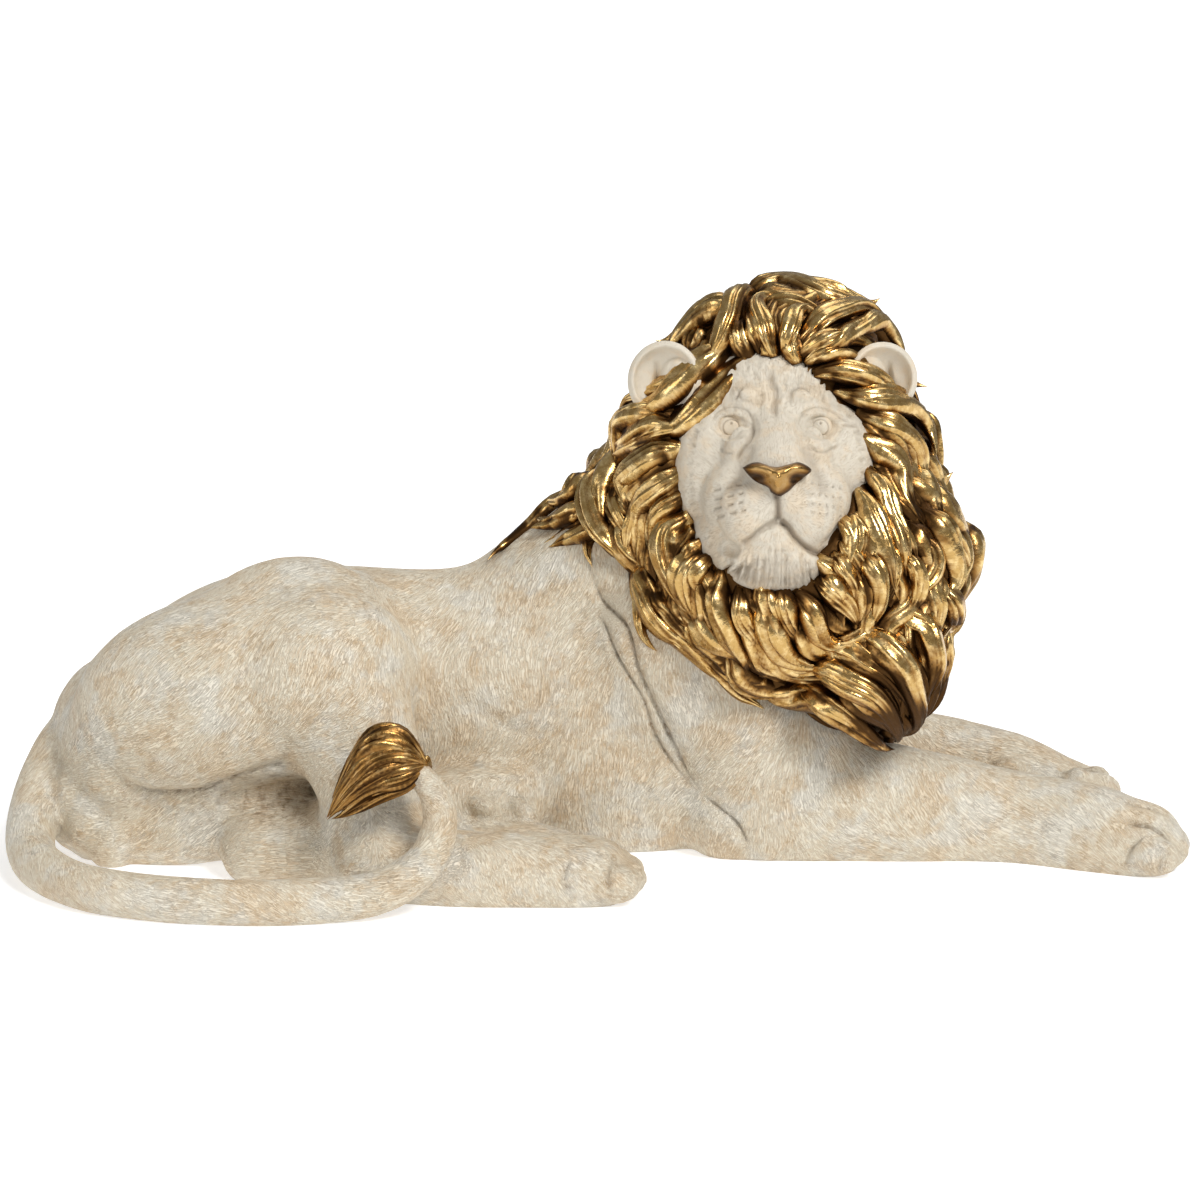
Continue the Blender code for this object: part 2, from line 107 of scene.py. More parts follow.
def bell(away, size):
    """1 in the middle, and e times less at the size."""
    return np.exp(-((away / size) ** 2))


def unit(rows):
    """Each row brought to a length of 1."""
    return rows / np.maximum(np.linalg.norm(rows, axis=1), 1e-6)[:, None]


def run_lengths(way):
    """How far along the way each of its points is."""
    steps = np.linalg.norm(np.diff(way, axis=0), axis=1)
    return np.concatenate([[0], np.cumsum(steps)])


def linked(name, data):
    """A new object in the scene."""
    made = bpy.data.objects.new(name, data)
    bpy.context.scene.collection.objects.link(made)
    return made


@contextmanager
def opened(mesh):
    """The mesh opened for changes to its faces, and written back after them."""
    skin = bmesh.new()
    skin.from_mesh(mesh)
    skin.verts.ensure_lookup_table()
    yield skin
    skin.to_mesh(mesh)
    skin.free()


def soften(piece, rounds):
    smoother = piece.modifiers.new("soften", "SMOOTH")
    smoother.factor = 0.5
    smoother.iterations = rounds
    bpy.context.view_layer.objects.active = piece
    bpy.ops.object.modifier_apply(modifier="soften")


def open_clay(name):
    """An empty piece of clay, in edit mode."""
    bpy.ops.object.select_all(action="DESELECT")
    clay = linked(name, bpy.data.meshes.new(name))
    bpy.context.view_layer.objects.active = clay
    clay.select_set(True)
    bpy.ops.object.mode_set(mode="EDIT")
    return clay


def ball(centre, radii, turn=(0, 0, 0), place=None):
    """An ellipsoid added to the open clay, with its turn in degrees."""
    at = Matrix.LocRotScale(Vector(centre), Euler([math.radians(a) for a in turn]), None)
    if place is not None:
        at = place @ at
    bpy.ops.mesh.select_all(action="DESELECT")
    bpy.ops.mesh.primitive_uv_sphere_add(
        segments=32,
        ring_count=20,
        radius=1,
        location=at.to_translation(),
        rotation=at.to_euler(),
        scale=radii,
    )


def eased(stations, per_span):
    """Points on a smooth curve through the stations, with whatever numbers each one has."""
    rows = np.array(stations, float)
    rows = np.vstack([2 * rows[0] - rows[1], rows, 2 * rows[-1] - rows[-2]])
    found = []
    for i in range(1, len(rows) - 2):
        a, b, c, d = rows[i - 1 : i + 3]
        for t in np.arange(per_span) / per_span:
            found.append(
                0.5 * (2 * b + (c - a) * t + (2 * a - 5 * b + 4 * c - d) * t**2)
                + 0.5 * (3 * b - a - 3 * c + d) * t**3
            )
    found.append(rows[-2])
    return np.array(found)


def roll(clay, stations, up=(0, 0, 1), sides=24, per_span=8, place=None):
    """A limb added to the open clay, through stations of x, y, z, half width, half height."""
    rows = eased(stations, per_span)
    centres, halves = rows[:, :3], rows[:, 3:]
    tangents = np.gradient(centres, axis=0)
    around = np.linspace(0, 2 * math.pi, sides, endpoint=False)

    def ring(centre, tangent, half_width, half_height):
        side = tangent.cross(Vector(up)).normalized()
        top = side.cross(tangent)
        return [
            Vector(centre) + side * (half_width * math.cos(a)) + top * (half_height * math.sin(a))
            for a in around
        ]

    rings = []
    for row, outward in ((0, -1), (-1, 1)):
        heading = Vector(tangents[row]).normalized()
        reach = min(halves[row])
        cap = [
            ring(
                Vector(centres[row]) + heading * (outward * reach * math.sin(a)),
                heading,
                *(halves[row] * math.cos(a)),
            )
            for a in (0.3, 0.6, 0.9, 1.15, 1.35)
        ]
        if outward < 0:
            middle = [
                ring(centres[i], Vector(tangents[i]).normalized(), *halves[i])
                for i in range(len(rows))
            ]
            rings = cap[::-1] + middle
        else:
            rings += cap
    if place is not None:
        rings = [[place @ p for p in one] for one in rings]
    skin = bmesh.from_edit_mesh(clay.data)
    loops = [[skin.verts.new(p) for p in one] for one in rings]
    for lower, upper in zip(loops, loops[1:]):
        for k in range(sides):
            n = (k + 1) % sides
            skin.faces.new((lower[k], lower[n], upper[n], upper[k]))
    skin.faces.new(loops[0][::-1])
    skin.faces.new(loops[-1])
    bmesh.update_edit_mesh(clay.data)


def fuse(clay, others, voxel, smoothing):
    """Closes the open clay and makes it and the other pieces one skin, with softened joins."""
    bpy.ops.mesh.select_all(action="SELECT")
    bpy.ops.mesh.normals_make_consistent(inside=False)
    bpy.ops.object.mode_set(mode="OBJECT")
    bpy.ops.object.select_all(action="DESELECT")
    for other in others:
        other.select_set(True)
    clay.select_set(True)
    bpy.context.view_layer.objects.active = clay
    if others:
        bpy.ops.object.join()
    melt = clay.modifiers.new("melt", "REMESH")
    melt.mode = "VOXEL"
    melt.voxel_size = voxel
    bpy.ops.object.modifier_apply(modifier="melt")
    soften(clay, smoothing)
    return clay


def copy_of(piece):
    twin = piece.copy()
    twin.data = piece.data.copy()
    bpy.context.scene.collection.objects.link(twin)
    return twin


def tree_of(piece):
    mesh = piece.data
    return BVHTree.FromPolygons(
        [v.co.copy() for v in mesh.vertices], [list(p.vertices) for p in mesh.polygons]
    )


class Skin:
    """A mesh's points, with their outward directions, in the figure's frame and millimetres."""

    def __init__(self, mesh):
        self.mesh = mesh
        self.points = self.read("co")
        self.normals = self.read("normal")
        # How deep each point lies in a cut: it drives painted shade there
        self.recess_shade = np.zeros(len(self.points))

    def read(self, what):
        flat = np.empty(len(self.mesh.vertices) * 3)
        self.mesh.vertices.foreach_get(what, flat)
        return flat.reshape(-1, 3)

    def settle(self):
        self.mesh.vertices.foreach_set("co", self.points.ravel())
        self.mesh.update()
        self.normals = self.read("normal")

    def local(self):
        """The points in the head's frame."""
        return taken(self.points, INTO_HEAD)

    def facing(self):
        """How much each point looks the way that the face does."""
        return self.normals @ np.array(FACE_OUT)

    def combed(self, ways):
        """Directions laid flat on the skin."""
        return unit(ways - self.normals * (ways * self.normals).sum(axis=1)[:, None])

    def cut(self, close, bite):
        """Lowers points, and remembers how deep, for the painted shade that darkens the cut."""
        self.points[close] -= self.normals[close] * bite[:, None]
        self.recess_shade[close] = np.maximum(self.recess_shade[close], bite)

    def note(self, name, values):
        """Keeps a number or a direction at each point for the paint."""
        values = np.asarray(values, float)
        kind = "FLOAT" if values.ndim == 1 else "FLOAT_VECTOR"
        held = self.mesh.attributes.new(name, kind, "POINT")
        held.data.foreach_set("value" if kind == "FLOAT" else "vector", values.ravel())


def to_route(points, route, reach):
    """Indices of the points within reach of a route, with distance and share of its length."""
    way = np.asarray(route, float)
    starts, spans = way[:-1], np.diff(way, axis=0)
    low, high = way.min(axis=0) - reach, way.max(axis=0) + reach
    close = np.flatnonzero(((points > low) & (points < high)).all(axis=1))
    gaps = points[close, None] - starts
    along = np.clip((gaps * spans).sum(axis=2) / (spans**2).sum(axis=1), 0, 1)
    away = np.linalg.norm(gaps - along[..., None] * spans, axis=2)
    best = away.argmin(axis=1)
    rows = np.arange(len(close))
    return close, away[rows, best], (best + along[rows, best]) / len(spans)


def faded(share, ends):
    """1 along a route, falling to 0 at both its ends, over a sixth of its length if ends is 6."""
    return np.clip(np.minimum(share, 1 - share) * ends, 0, 1)


def crease(skin, route, width, depth, ends=6.0):
    """A soft groove under a route lying on the skin, or a ridge where the depth is negative."""
    if len(route) < 2:
        return
    close, away, share = to_route(skin.points, eased(route, 6), width)
    skin.cut(close, depth * faded(share, ends) * bell(away, 0.5 * width))


def laid_on(tree, route, ahead):
    """The route moved along a direction until it meets the skin."""
    ahead = Vector(ahead)
    found = [tree.ray_cast(Vector(p) - ahead * FAR_OUT, ahead)[0] for p in route]
    return [tuple(p) for p in found if p is not None]


def cut_flat(piece):
    """Cuts a piece off flat on the ground and closes it there."""
    with opened(piece.data) as skin:
        cut = bmesh.ops.bisect_plane(
            skin,
            geom=skin.verts[:] + skin.edges[:] + skin.faces[:],
            plane_co=(0, 0, 0),
            plane_no=(0, 0, -1),
            clear_outer=True,
        )
        rim = [e for e in cut["geom_cut"] if isinstance(e, bmesh.types.BMEdge)]
        bmesh.ops.holes_fill(skin, edges=rim, sides=0)


def lay_trunk(clay):
    roll(
        clay,
        [
            (-230, 50, 50, 45, 48),
            (-199, 54, 59, 55, 65),
            (-165, 56, 65, 61, 71),
            (-128, 56, 66, 62, 71),
            (-77, 56, 66, 61, 69),
            (-30, 56, 70, 61, 73),
            (30, 56, 72, 59, 74),
            (70, 54, 66, 51, 61),
        ],
    )
    ball((-240, 40, 55), (42, 46, 42), (0, -20, 0))
    ball((8, 28, 36), (80, 36, 48))
    roll(clay, [(-34, 62, 98, 50, 50), (16, 62, 135, 54, 52), (70, 50, 175, 52, 55)])
    # Near hip and thigh, then the far haunch
    ball((-156, 24, 98), (60, 46, 52), (0, -12, 0))
    ball((-180, 4, 82), (88, 51, 56), (0, -8, 3))
    ball((-140, -2, 92), (50, 46, 50))
    ball((-222, 20, 58), (54, 44, 43), (0, -10, 0))
    ball((-238, 2, 42), (30, 28, 26), (0, 10, 0))
    ball((-185, 74, 58), (84, 44, 62), (0, -6, 0))
    # Shoulders, elbows and chest
    ball((46, 14, 96), (46, 32, 60), (0, -30, 0))
    ball((84, 10, 52), (52, 34, 46), (0, 30, 0))
    ball((40, 88, 84), (50, 34, 60), (0, -20, 0))
    ball((84, 88, 50), (54, 30, 46), (0, 24, 0))
    ball((98, 46, 56), (42, 48, 50))


NEAR_FORELEG = [
    (66, 10, 24, 26, 33),
    (105, 8, 27, 27, 36),
    (151, 8, 23, 26, 33),
    (208, 4, 17, 21, 27),
    (245, -9, 15, 22, 26),
    (272, -18, 12, 23, 22),
]
FAR_FORELEG = [
    (70, 88, 28, 26, 28),
    (110, 88, 31, 26, 31),
    (151, 88, 25, 24, 30),
    (200, 86, 20, 20, 25),
    (222, 85, 16, 20, 22),
    (240, 83, 12, 21, 17),
    (254, 82, 9, 21, 14),
]
NEAR_SHANK = [
    (-146, -12, 96, 40, 42),
    (-124, -28, 74, 31, 33),
    (-114, -40, 46, 27, 27),
    (-112, -52, 12, 26, 22),
]
NEAR_HIND_FOOT = [(-112, -60, 13, 24, 20), (-60, -68, 12, 23, 21), (-3, -68, 11, 23, 20)]
TAIL = [
    (-262, 42, 58, 16, 16),
    (-276, 28, 44, 15, 15),
    (-285, 4, 26, 13.5, 13.5),
    (-285, -28, 14, 12.5, 12.5),
    (-274, -60, 11, 12, 12),
    (-246, -91, 10.5, 11.5, 11.5),
    (-196, -108, 10, 11, 11.5),
    (-146, -109, 10, 11, 11.5),
    (-108, -103, 13, 11, 11),
    (-86, -95, 25, 10, 10),
    (-78, -88, 42, 9, 9),
    (-81, -84, 57, 7.5, 7.5),
    (-90, -82, 69, 6, 6),
]


def lay_limbs(clay):
    roll(clay, NEAR_SHANK, up=(1, 0.4, 0))
    roll(clay, NEAR_HIND_FOOT)
    # Far hind leg: calf and hock under the haunch, foot between the near foot and the belly
    roll(clay, [(-254, 2, 16, 20, 20), (-215, -8, 17, 18, 20), (-165, -16, 34, 20, 26)])
    roll(clay, [(-172, -34, 13, 18, 20), (-140, -30, 16, 19, 20), (-95, -24, 24, 17, 23)])
    roll(clay, [(-95, -20, 26, 16, 20), (-62, -12, 29, 15, 21), (-42, -8, 28, 12, 19)])
    ball((-48, -32, 10), (46, 26, 17))
    ball((82, 6, 20), (22, 18, 20))
    roll(clay, NEAR_FORELEG)
    roll(clay, FAR_FORELEG)


def lay_toes(centre, heading, spread, size):
    """Four toes across the front of a paw, the middle two further forward."""
    ahead = Vector((math.cos(heading), math.sin(heading), 0))
    across = Vector((-ahead.y, ahead.x, 0))
    for k in range(4):
        offset = k - 1.5
        at = Vector(centre) + across * offset * spread - ahead * 2.5 * abs(offset) ** 1.5
        ball(at, (size * 1.5, size, size * 1.15), (0, 0, math.degrees(heading)))


def lay_details(clay):
    lay_toes((284, -20, 11), math.radians(-8), 11.5, 8.8)
    lay_toes((261, 81, 9), math.radians(-4), 11, 8.6)
    lay_toes((11, -68, 11), math.radians(4), 10.6, 8.6)
    ball((212, 64, 27), (9, 6, 7))
    ball((248, 66, 20), (9, 6, 8))
    ball((258, 72, 19), (8, 7, 8))
    ball((-58, -28, 34), (9, 5, 5), (0, 30, 0))
    ball((-38, -23, 30), (8, 5, 5), (0, 50, 0))
    ball((-62, -29, 22), (13, 5, 5), (0, -10, 0))
    ball((84, -7, 8), (9, 8, 8))
    ball((-257, -6, 20), (14, 15, 17))
    ball((-246, -14, 11), (13, 11, 14))
    ball((-264, 10, 24), (18, 24, 24))
    roll(clay, TAIL, up=(0.05, 0.3, 1))


def lay_collar():
    """The mass under the mane's locks."""
    ball((2, 6, -44), (77, 78, 60), place=HEAD_FRAME)
    ball((6, 48, -42), (56, 50, 52), place=HEAD_FRAME)
    ball((16, -40, -26), (78, 60, 56), place=HEAD_FRAME)
    ball((50, -92, -14), (34, 34, 34), place=HEAD_FRAME)
    ball((118, 16, 118), (54, 38, 52), (0, -25, 0))
    ball((34, 58, 160), (54, 54, 44), (0, -30, 0))


def make_body():
    clay = open_clay("trunk")
    lay_trunk(clay)
    trunk = fuse(clay, [], BODY_VOXEL, TRUNK_SMOOTHING)
    clay = open_clay("body")
    lay_limbs(clay)
    return fuse(clay, [trunk], BODY_VOXEL, BODY_SMOOTHING)


def comb_directions(skin):
    """Which way the coat's hair lies at each point."""
    x, y, z = skin.points.T
    on_top = skin.normals[:, 2]
    ways = np.tile((-0.22, 0.0, -1.0), (len(x), 1))
    haunch = ramp(x, -95, -135)
    low = ramp(z, 62, 32) * ramp(x, -90, -120)
    top = ramp(on_top, 0.75, 0.95)
    front = ramp(x, 95, 135) * ramp(z, 80, 60)
    feet = ramp(y, -20, -35) * ramp(x, -120, -100) * (z < 45) * (x < 60)
    for share, way, given_up in (
        (haunch, (-0.75, -0.2, -0.75), 1.0),
        (low, (-1.0, 0, -0.25), 1.0),
        (top, (-0.8, -0.5, -0.3), 0.7),
        (front, (0.75, -0.1, -0.75), 1.0),
        (feet, (0.7, 0, -0.7), 1.0),
    ):
        ways = ways * (1 - given_up * share[:, None]) + np.array(way) * share[:, None]
    # Along the tail, sinking a little
    tail = eased(TAIL, 6)[:, :3]
    close, away, share = to_route(skin.points, tail, 24)
    part = np.clip((share * (len(tail) - 1)).astype(int), 0, len(tail) - 2)
    run = unit(np.diff(tail, axis=0))[part]
    hold = (ramp(away, 21, 16) * (share > 0.08))[:, None]
    ways[close] = ways[close] * (1 - hold) + (run + np.array((0.0, 0.0, -0.55))) * hold
    # Waves, as from a hand that never combs quite straight
    swing = 0.45 * np.sin(x / 17 + 2 * np.sin(z / 23)) + 0.35 * np.sin(z / 13 + y / 19 + 1.7)
    ways = ways + np.cross(skin.normals, ways) * (0.75 * swing)[:, None]
    return skin.combed(ways)


FOLD = [(-6, 150), (0, 132), (12, 121), (18, 99), (28, 80), (40, 53), (51, 36)]
FOLD_BESIDE = [(-8, 132), (2, 120), (9, 104), (21, 85), (27, 66), (36, 51), (50, 35)]
ELBOW_CREASE = [(51, 36), (68, 22), (75, 8)]
BELLY_CREASE = [(-68, 84), (-56, 74), (-38, 65), (-22, 64)]
HIND_TOE_LINES = [[(-14, 26), (-17, 16), (-14, 6)], [(7, 25), (4, 16), (6, 6)]]
HAUNCH_EDGE = [(-250, 62), (-238, 46), (-222, 40), (-200, 42), (-180, 50), (-160, 58), (-146, 56)]
NEAR_PAW_LINES = [[(262, y), (276, y - 1), (290, y - 2), (300, y - 3)] for y in (-33, -21, -9)]
FAR_PAW_LINES = [[(240, y), (252, y), (264, y), (275, y)] for y in (70, 81, 92)]
PAW_SIDE_LINES = [[(262, 4), (264, 14), (272, 22)], [(278, 3), (279, 11), (286, 17)]]


def refined(piece, routes, reach):
    """Splits the mesh finer within reach of the routes, so that it can hold thin lines."""
    points = Skin(piece.data).points
    marks = np.zeros(len(points), bool)
    for route in routes:
        close, away, _ = to_route(points, eased(route, 3), reach)
        marks[close[away < reach]] = True
    with opened(piece.data) as skin:
        edges = [e for e in skin.edges if marks[e.verts[0].index] and marks[e.verts[1].index]]
        bmesh.ops.subdivide_edges(skin, edges=edges, cuts=1, use_grid_fill=True)


THIGH_HOLLOW = (-162, -22, 38)
THIGH_HOLLOW_DEPTH = 14.0
PAW_LINE_BROAD = (6, 1.6)
PAW_LINE_FINE = (2.0, 1.4)


def under_thigh(points, size):
    """How deep each point lies in the hollow between the near thigh and the far foot, 0 to 1."""
    away = (points - THIGH_HOLLOW) / np.array((34 * size, 34, 18 * size))
    return np.clip(1 - (away**2).sum(axis=1), 0, 1) ** 1.2


def make_coat(body):
    clay = open_clay("coat")
    lay_details(clay)
    coat = fuse(clay, [copy_of(body)], COAT_VOXEL, COAT_SMOOTHING)
    tree = tree_of(coat)

    def from_the_side(route):
        return laid_on(tree, [(x, 0, z) for x, z in route], (0, 1, 0))

    # Broad dips and fine lines, each with its route, width and depth. Most folds have both.
    broad = [(FOLD, 6, 2.0), (FOLD_BESIDE, 5, 1.0), (ELBOW_CREASE, 5, 1.4)]
    broad += [(BELLY_CREASE, 8, 1.5), (HAUNCH_EDGE, 9, 3.2)]
    fine = [(FOLD, 1.8, 1.5), (FOLD_BESIDE, 1.7, 1.2), (ELBOW_CREASE, 1.8, 1.3)]
    fine += [(HAUNCH_EDGE[1:], 2.4, 1.2)]
    fine += [(line, 2.2, 0.9) for line in HIND_TOE_LINES + PAW_SIDE_LINES]
    broad = [(from_the_side(route), width, depth) for route, width, depth in broad]
    fine = [(from_the_side(route), width, depth) for route, width, depth in fine]
    for route in NEAR_PAW_LINES + FAR_PAW_LINES:
        over = laid_on(tree, [(x, y, 0) for x, y in route], (0, 0, -1))
        broad.append((over, *PAW_LINE_BROAD))
        fine.append((over, *PAW_LINE_FINE))
    skin = Skin(coat.data)
    for route, width, depth in broad:
        crease(skin, route, width, depth)
    skin.points[:, 1] += THIGH_HOLLOW_DEPTH * under_thigh(skin.points, 1.0)
    # The hand-modelled skin is never quite even
    x, y, z = skin.points.T
    lumps = np.sin(x / 9 + 2 * np.sin(z / 15)) * np.sin(z / 8 + y / 11) * 0.22
    skin.points += skin.normals * lumps[:, None]
    skin.settle()
    sunk = tree_of(coat)
    fine = [
        ([tuple(sunk.find_nearest(Vector(p))[0]) for p in route], width, depth)
        for route, width, depth in fine
    ]
    for reach in (3.6, 2.2):
        refined(coat, [route for route, width, depth in fine], reach)
    skin = Skin(coat.data)
    for route, width, depth in fine:
        crease(skin, route, width, depth, 4.0)
    # Painted shade: darker by the depth of each cut, and in the hollow under the near thigh
    recess_shade = skin.recess_shade + 1.1 * under_thigh(skin.points, 1.5)
    skin.settle()
    skin.note("recess_shade", np.clip(recess_shade / 1.2, 0, 1))
    cut_flat(coat)
    skin = Skin(coat.data)
    skin.note("comb", comb_directions(skin))
    return coat


EYES = ((-22.2, 27.0), (21.7, 27.0))
EYE_SIZE = 7.4
EYE_PROUD = 3.4
NOSE_EDGE = [
    *((-17.8, 6.2), (-14.1, 8.3), (-9.8, 8.8), (-4.6, 7.0), (-0.3, 6.6), (4.9, 7.9), (10.1, 8.8)),
    *((15.8, 5.3), (12.7, 1.8), (7.5, -2.5), (4.1, -6.0), (0.6, -7.7), (-3.7, -6.0), (-5.5, -3.4)),
    *((-10.7, -0.8), (-15.0, 2.7)),
]


def lay_head(clay):
    def mass(centre, radii, turn=(0, 0, 0)):
        ball(centre, radii, turn, HEAD_FRAME)

    mass((0, 22, -22), (47, 51, 43))
    mass((0, 48, -9), (36, 23, 23))
    for side in (-1, 1):
        mass((side * 23, 6, 2), (21, 27, 20))
        mass((side * 28.5, 6, -4), (22.5, 37, 24))
        mass((side * 20, -27, 2), (22, 25, 25))
        mass((side * 20, -8, 19), (17, 20, 19))
        mass((side * 13.5, -14, 32.5), (16.5, 18, 18))
        mass((side * 13, 42, 10), (10, 7, 8))
        mass((side * 3, -6, 38), (12, 15, 14))
        mass((side * 15, 10, 20), (12, 20, 14))
        mass((side * 10, 1, 32), (10, 12, 13))
    mass((0, -27, 25), (25, 13, 21))
    roll(
        clay,
        [(0, 40, 6, 13, 10), (0, 26, 17, 13.5, 10), (0, 14, 32, 14, 10), (0, 6, 41, 14, 9)],
        up=(0, 1, 1),
        place=HEAD_FRAME,
    )
    mass((0, -40, 24), (26.5, 15, 19))
    for side in (-1, 1):
        mass((side * 18, -34, 14), (15, 16, 17))
    mass((0, -27, 8), (33, 27, 28))


# Strokes on the face, drawn across (u) and up (v) its front: each has its route, width and depth,
# and some have how sharply their ends fade
FURROW = [
    ([(-2.0, 62), (-2.4, 50), (-0.3, 46), (-0.4, 41), (-1.1, 36), (-0.7, 29)], 5, 1.1),
    ([(-2.0, 60), (-2.4, 50), (-0.3, 46), (-0.4, 41), (-1.1, 36), (-0.7, 30)], 1.7, 1.3),
]
KNOT_EDGES = [
    ([(-20.7, 39.9), (-19.4, 44.3), (-16.3, 47.4)], 1.8, 1.3),
    ([(-7.6, 44.4), (-6.8, 40.9), (-8.5, 37.0)], 1.7, 1.1),
    ([(6.2, 38.1), (6.7, 43.5), (10.1, 46.9), (15.3, 46.1), (17.3, 43.0)], 1.8, 1.2),
]
LIP_ENDS = [(-9.8, -25.1), (-13.3, -28.1), (-18.5, -31.1)]
LIPS = [
    ([(-1, -4), (-0.6, -12), (0.0, -20)], 4.0, 1.8, 30),
    ([(-1, -6), (-0.6, -12), (0.0, -20)], 1.6, 1.2, 30),
    ([(0.2, -19.5), (-4.6, -21.6), *LIP_ENDS], 3.4, 1.4, 20),
    ([(0.2, -19.5), (4, -22.4), (8, -27.7), (13, -32), (18, -34.5), (24, -36)], 3.6, 2.2, 20),
    ([(0.2, -19.8), (-4.6, -21.8), *LIP_ENDS], 1.6, 0.8, 9),
    ([(0.2, -19.8), (4, -22.6), (8, -27.9), (13, -32.2), (18, -34.7), (24, -36)], 1.6, 1.2, 9),
]
LIDS = [
    ([(-32, 26.6), (-28, 32.2), (-22, 34.4), (-16.5, 32.8), (-13.0, 27.7)], 2.6, -1.7, 4),
    ([(-32, 25.7), (-27, 20.4), (-21.5, 18.8), (-16.5, 20.4), (-13.0, 24)], 2.4, -1.3, 4),
    ([(12.2, 25.5), (15.6, 32), (21, 34.2), (26.5, 31.8), (31, 28.4), (36, 27.8)], 2.6, -1.6, 4),
    ([(12.2, 24), (16.2, 20.4), (21.5, 19.2), (26.8, 21.6), (31, 26.4)], 2.4, -1.3, 4),
    ([(-33, 30), (-28, 35.5), (-21, 37.4), (-14.4, 34.6), (-11.4, 28)], 1.6, 0.9),
    ([(10.5, 26), (13.6, 33.6), (20, 37), (27, 34.9), (33, 31.5), (37, 29.8)], 1.6, 0.9),
    ([(31, 28.6), (37, 28.4), (42, 28.0)], 1.8, 1.0),
    ([(-12.6, 30), (-12.4, 24.4), (-15.0, 18.5), (-18.4, 13.5), (-20.5, 9)], 2.4, 1.6),
    ([(-29, 17.5), (-25.4, 14.2), (-21.5, 13.8)], 1.6, 0.7),
    ([(14.6, 18.5), (19.7, 14.7), (25.8, 15.2), (32.8, 21.3)], 1.7, 1.0),
]
# Heights of the whisker rows on each side, and start and length of the cuts in a row on the left
WHISKER_ROWS = ((-1.5, -1), (-6, -6), (-10.5, -11), (-15, -15.5))
WHISKER_CUTS = ((-32.5, 4.6), (-26.4, 4.0), (-20.8, 3.0))
CHIN_HAIRS, FOREHEAD_HAIRS, CHEEK_HAIRS = 64, 70, 90
FACE_BACK = -26.0  # what lies deeper in the head is hidden by the mane


class FaceSkin(Skin):
    """The face's skin, carved from the front."""

    def stroke(self, route, width, depth, ends=6.0):
        """A groove, or a ridge where the depth is negative."""
        close, away, share = to_route(self.local()[:, :2], eased(route, 5), width)
        front = np.clip(self.facing()[close] * 4, 0, 1)
        self.cut(close, depth * faded(share, ends) * front * bell(away, 0.5 * width))

    def mound(self, u, v, across, up, height):
        """A low oval rise, or a dip where the height is negative."""
        local = self.local()
        reach = ((local[:, 0] - u) / across) ** 2 + ((local[:, 1] - v) / up) ** 2
        lift = height * np.clip(1 - reach, 0, 1) ** 1.5 * np.clip(self.facing() * 3, 0, 1)
        self.points += self.normals * lift[:, None]

    def strokes(self, rows):
        for row in rows:
            self.stroke(*row)

    def mounds(self, rows):
        for row in rows:
            self.mound(*row)


def shape_sockets(skin):
    for (u, v), side in zip(EYES, (-1, 1)):
        skin.mound(u, v, 12, 10, -3.4)
        skin.mound(u - side * 9, v - 1, 5, 8, -2.2)
        skin.mound(u - side * 1, v + 9, 14, 4, 1.2)
        skin.mound(u + side * 4, v - 12, 13, 7, 0.8)


def carve_muzzle(skin):
    """The furrow under the nose, lips, the hollows at their ends, and the muzzle's sides."""
    skin.strokes(LIPS)
    skin.mounds([(-23, -34, 5, 5, -3.5), (25, -35, 5, 4, -2.5), (0, -38, 20, 12, 1.2)])
    for side in (-1, 1):
        skin.mound(side * 13, -12, 11, 9, 1.2)
        skin.stroke([(side * 12, 21), (side * 16, 12), (side * 20, 2), (side * 25, -10)], 8, 1.0)


def carve_whiskers(skin):
    """Rows of whisker marks: cut lines on one side, pricked dots on the other."""
    for left, right in WHISKER_ROWS:
        for start, run in WHISKER_CUTS:
            u = start + 0.35 * (left + 8) * math.cos(left)
            v = left + 0.23 * (u + 18)
            skin.stroke([(u, v), (u + run, v + 0.3 * run)], 1.3, 1.2, 5)
        for k in range(5):
            u, v = 16 + 3.6 * k, right - 0.5 * k
            skin.stroke([(u, v), (u + 0.8, v - 0.3)], 1.4, 1.0, 50)


def carve_hair(skin, rng):
    # The chin's hair hangs in upright strokes, longest at its edge
    for k in range(CHIN_HAIRS):
        u = -25 + 51 * (k + rng.uniform(-0.3, 0.3)) / (CHIN_HAIRS - 1)
        top = -27 - rng.uniform(2, 13) - 5 * abs(u) / 20
        foot = -55 + 9 * (u / 25) ** 2
        lean = 0.14 * u + rng.uniform(-1, 1)
        hair = [(u, top), (u + 0.5 * lean, 0.5 * (top + foot)), (u + lean, foot)]
        skin.stroke(hair, 1.6, 1.1, 5)
    # Over the forehead it rises from the furrow, and it leaves a ragged edge along the cheeks
    for k in range(FOREHEAD_HAIRS):
        side = 1 if k % 2 else -1
        u = side * rng.uniform(0.5, 26) - 1
        foot = rng.uniform(34, 57)
        reach = rng.uniform(4, 8)
        skin.stroke([(u, foot), (u + side * 0.35 * reach, foot + reach)], 1.5, 0.55, 3)
    for _ in range(CHEEK_HAIRS):
        turn = rng.uniform(-3.9, 0.76)
        u, v = 41 * math.cos(turn), 5 + 52 * math.sin(turn)
        away = Vector((u, v - 18)).normalized() * rng.uniform(3, 6)
        skin.stroke([(u, v), (u + away.x, v + away.y)], 1.6, 0.6, 3)


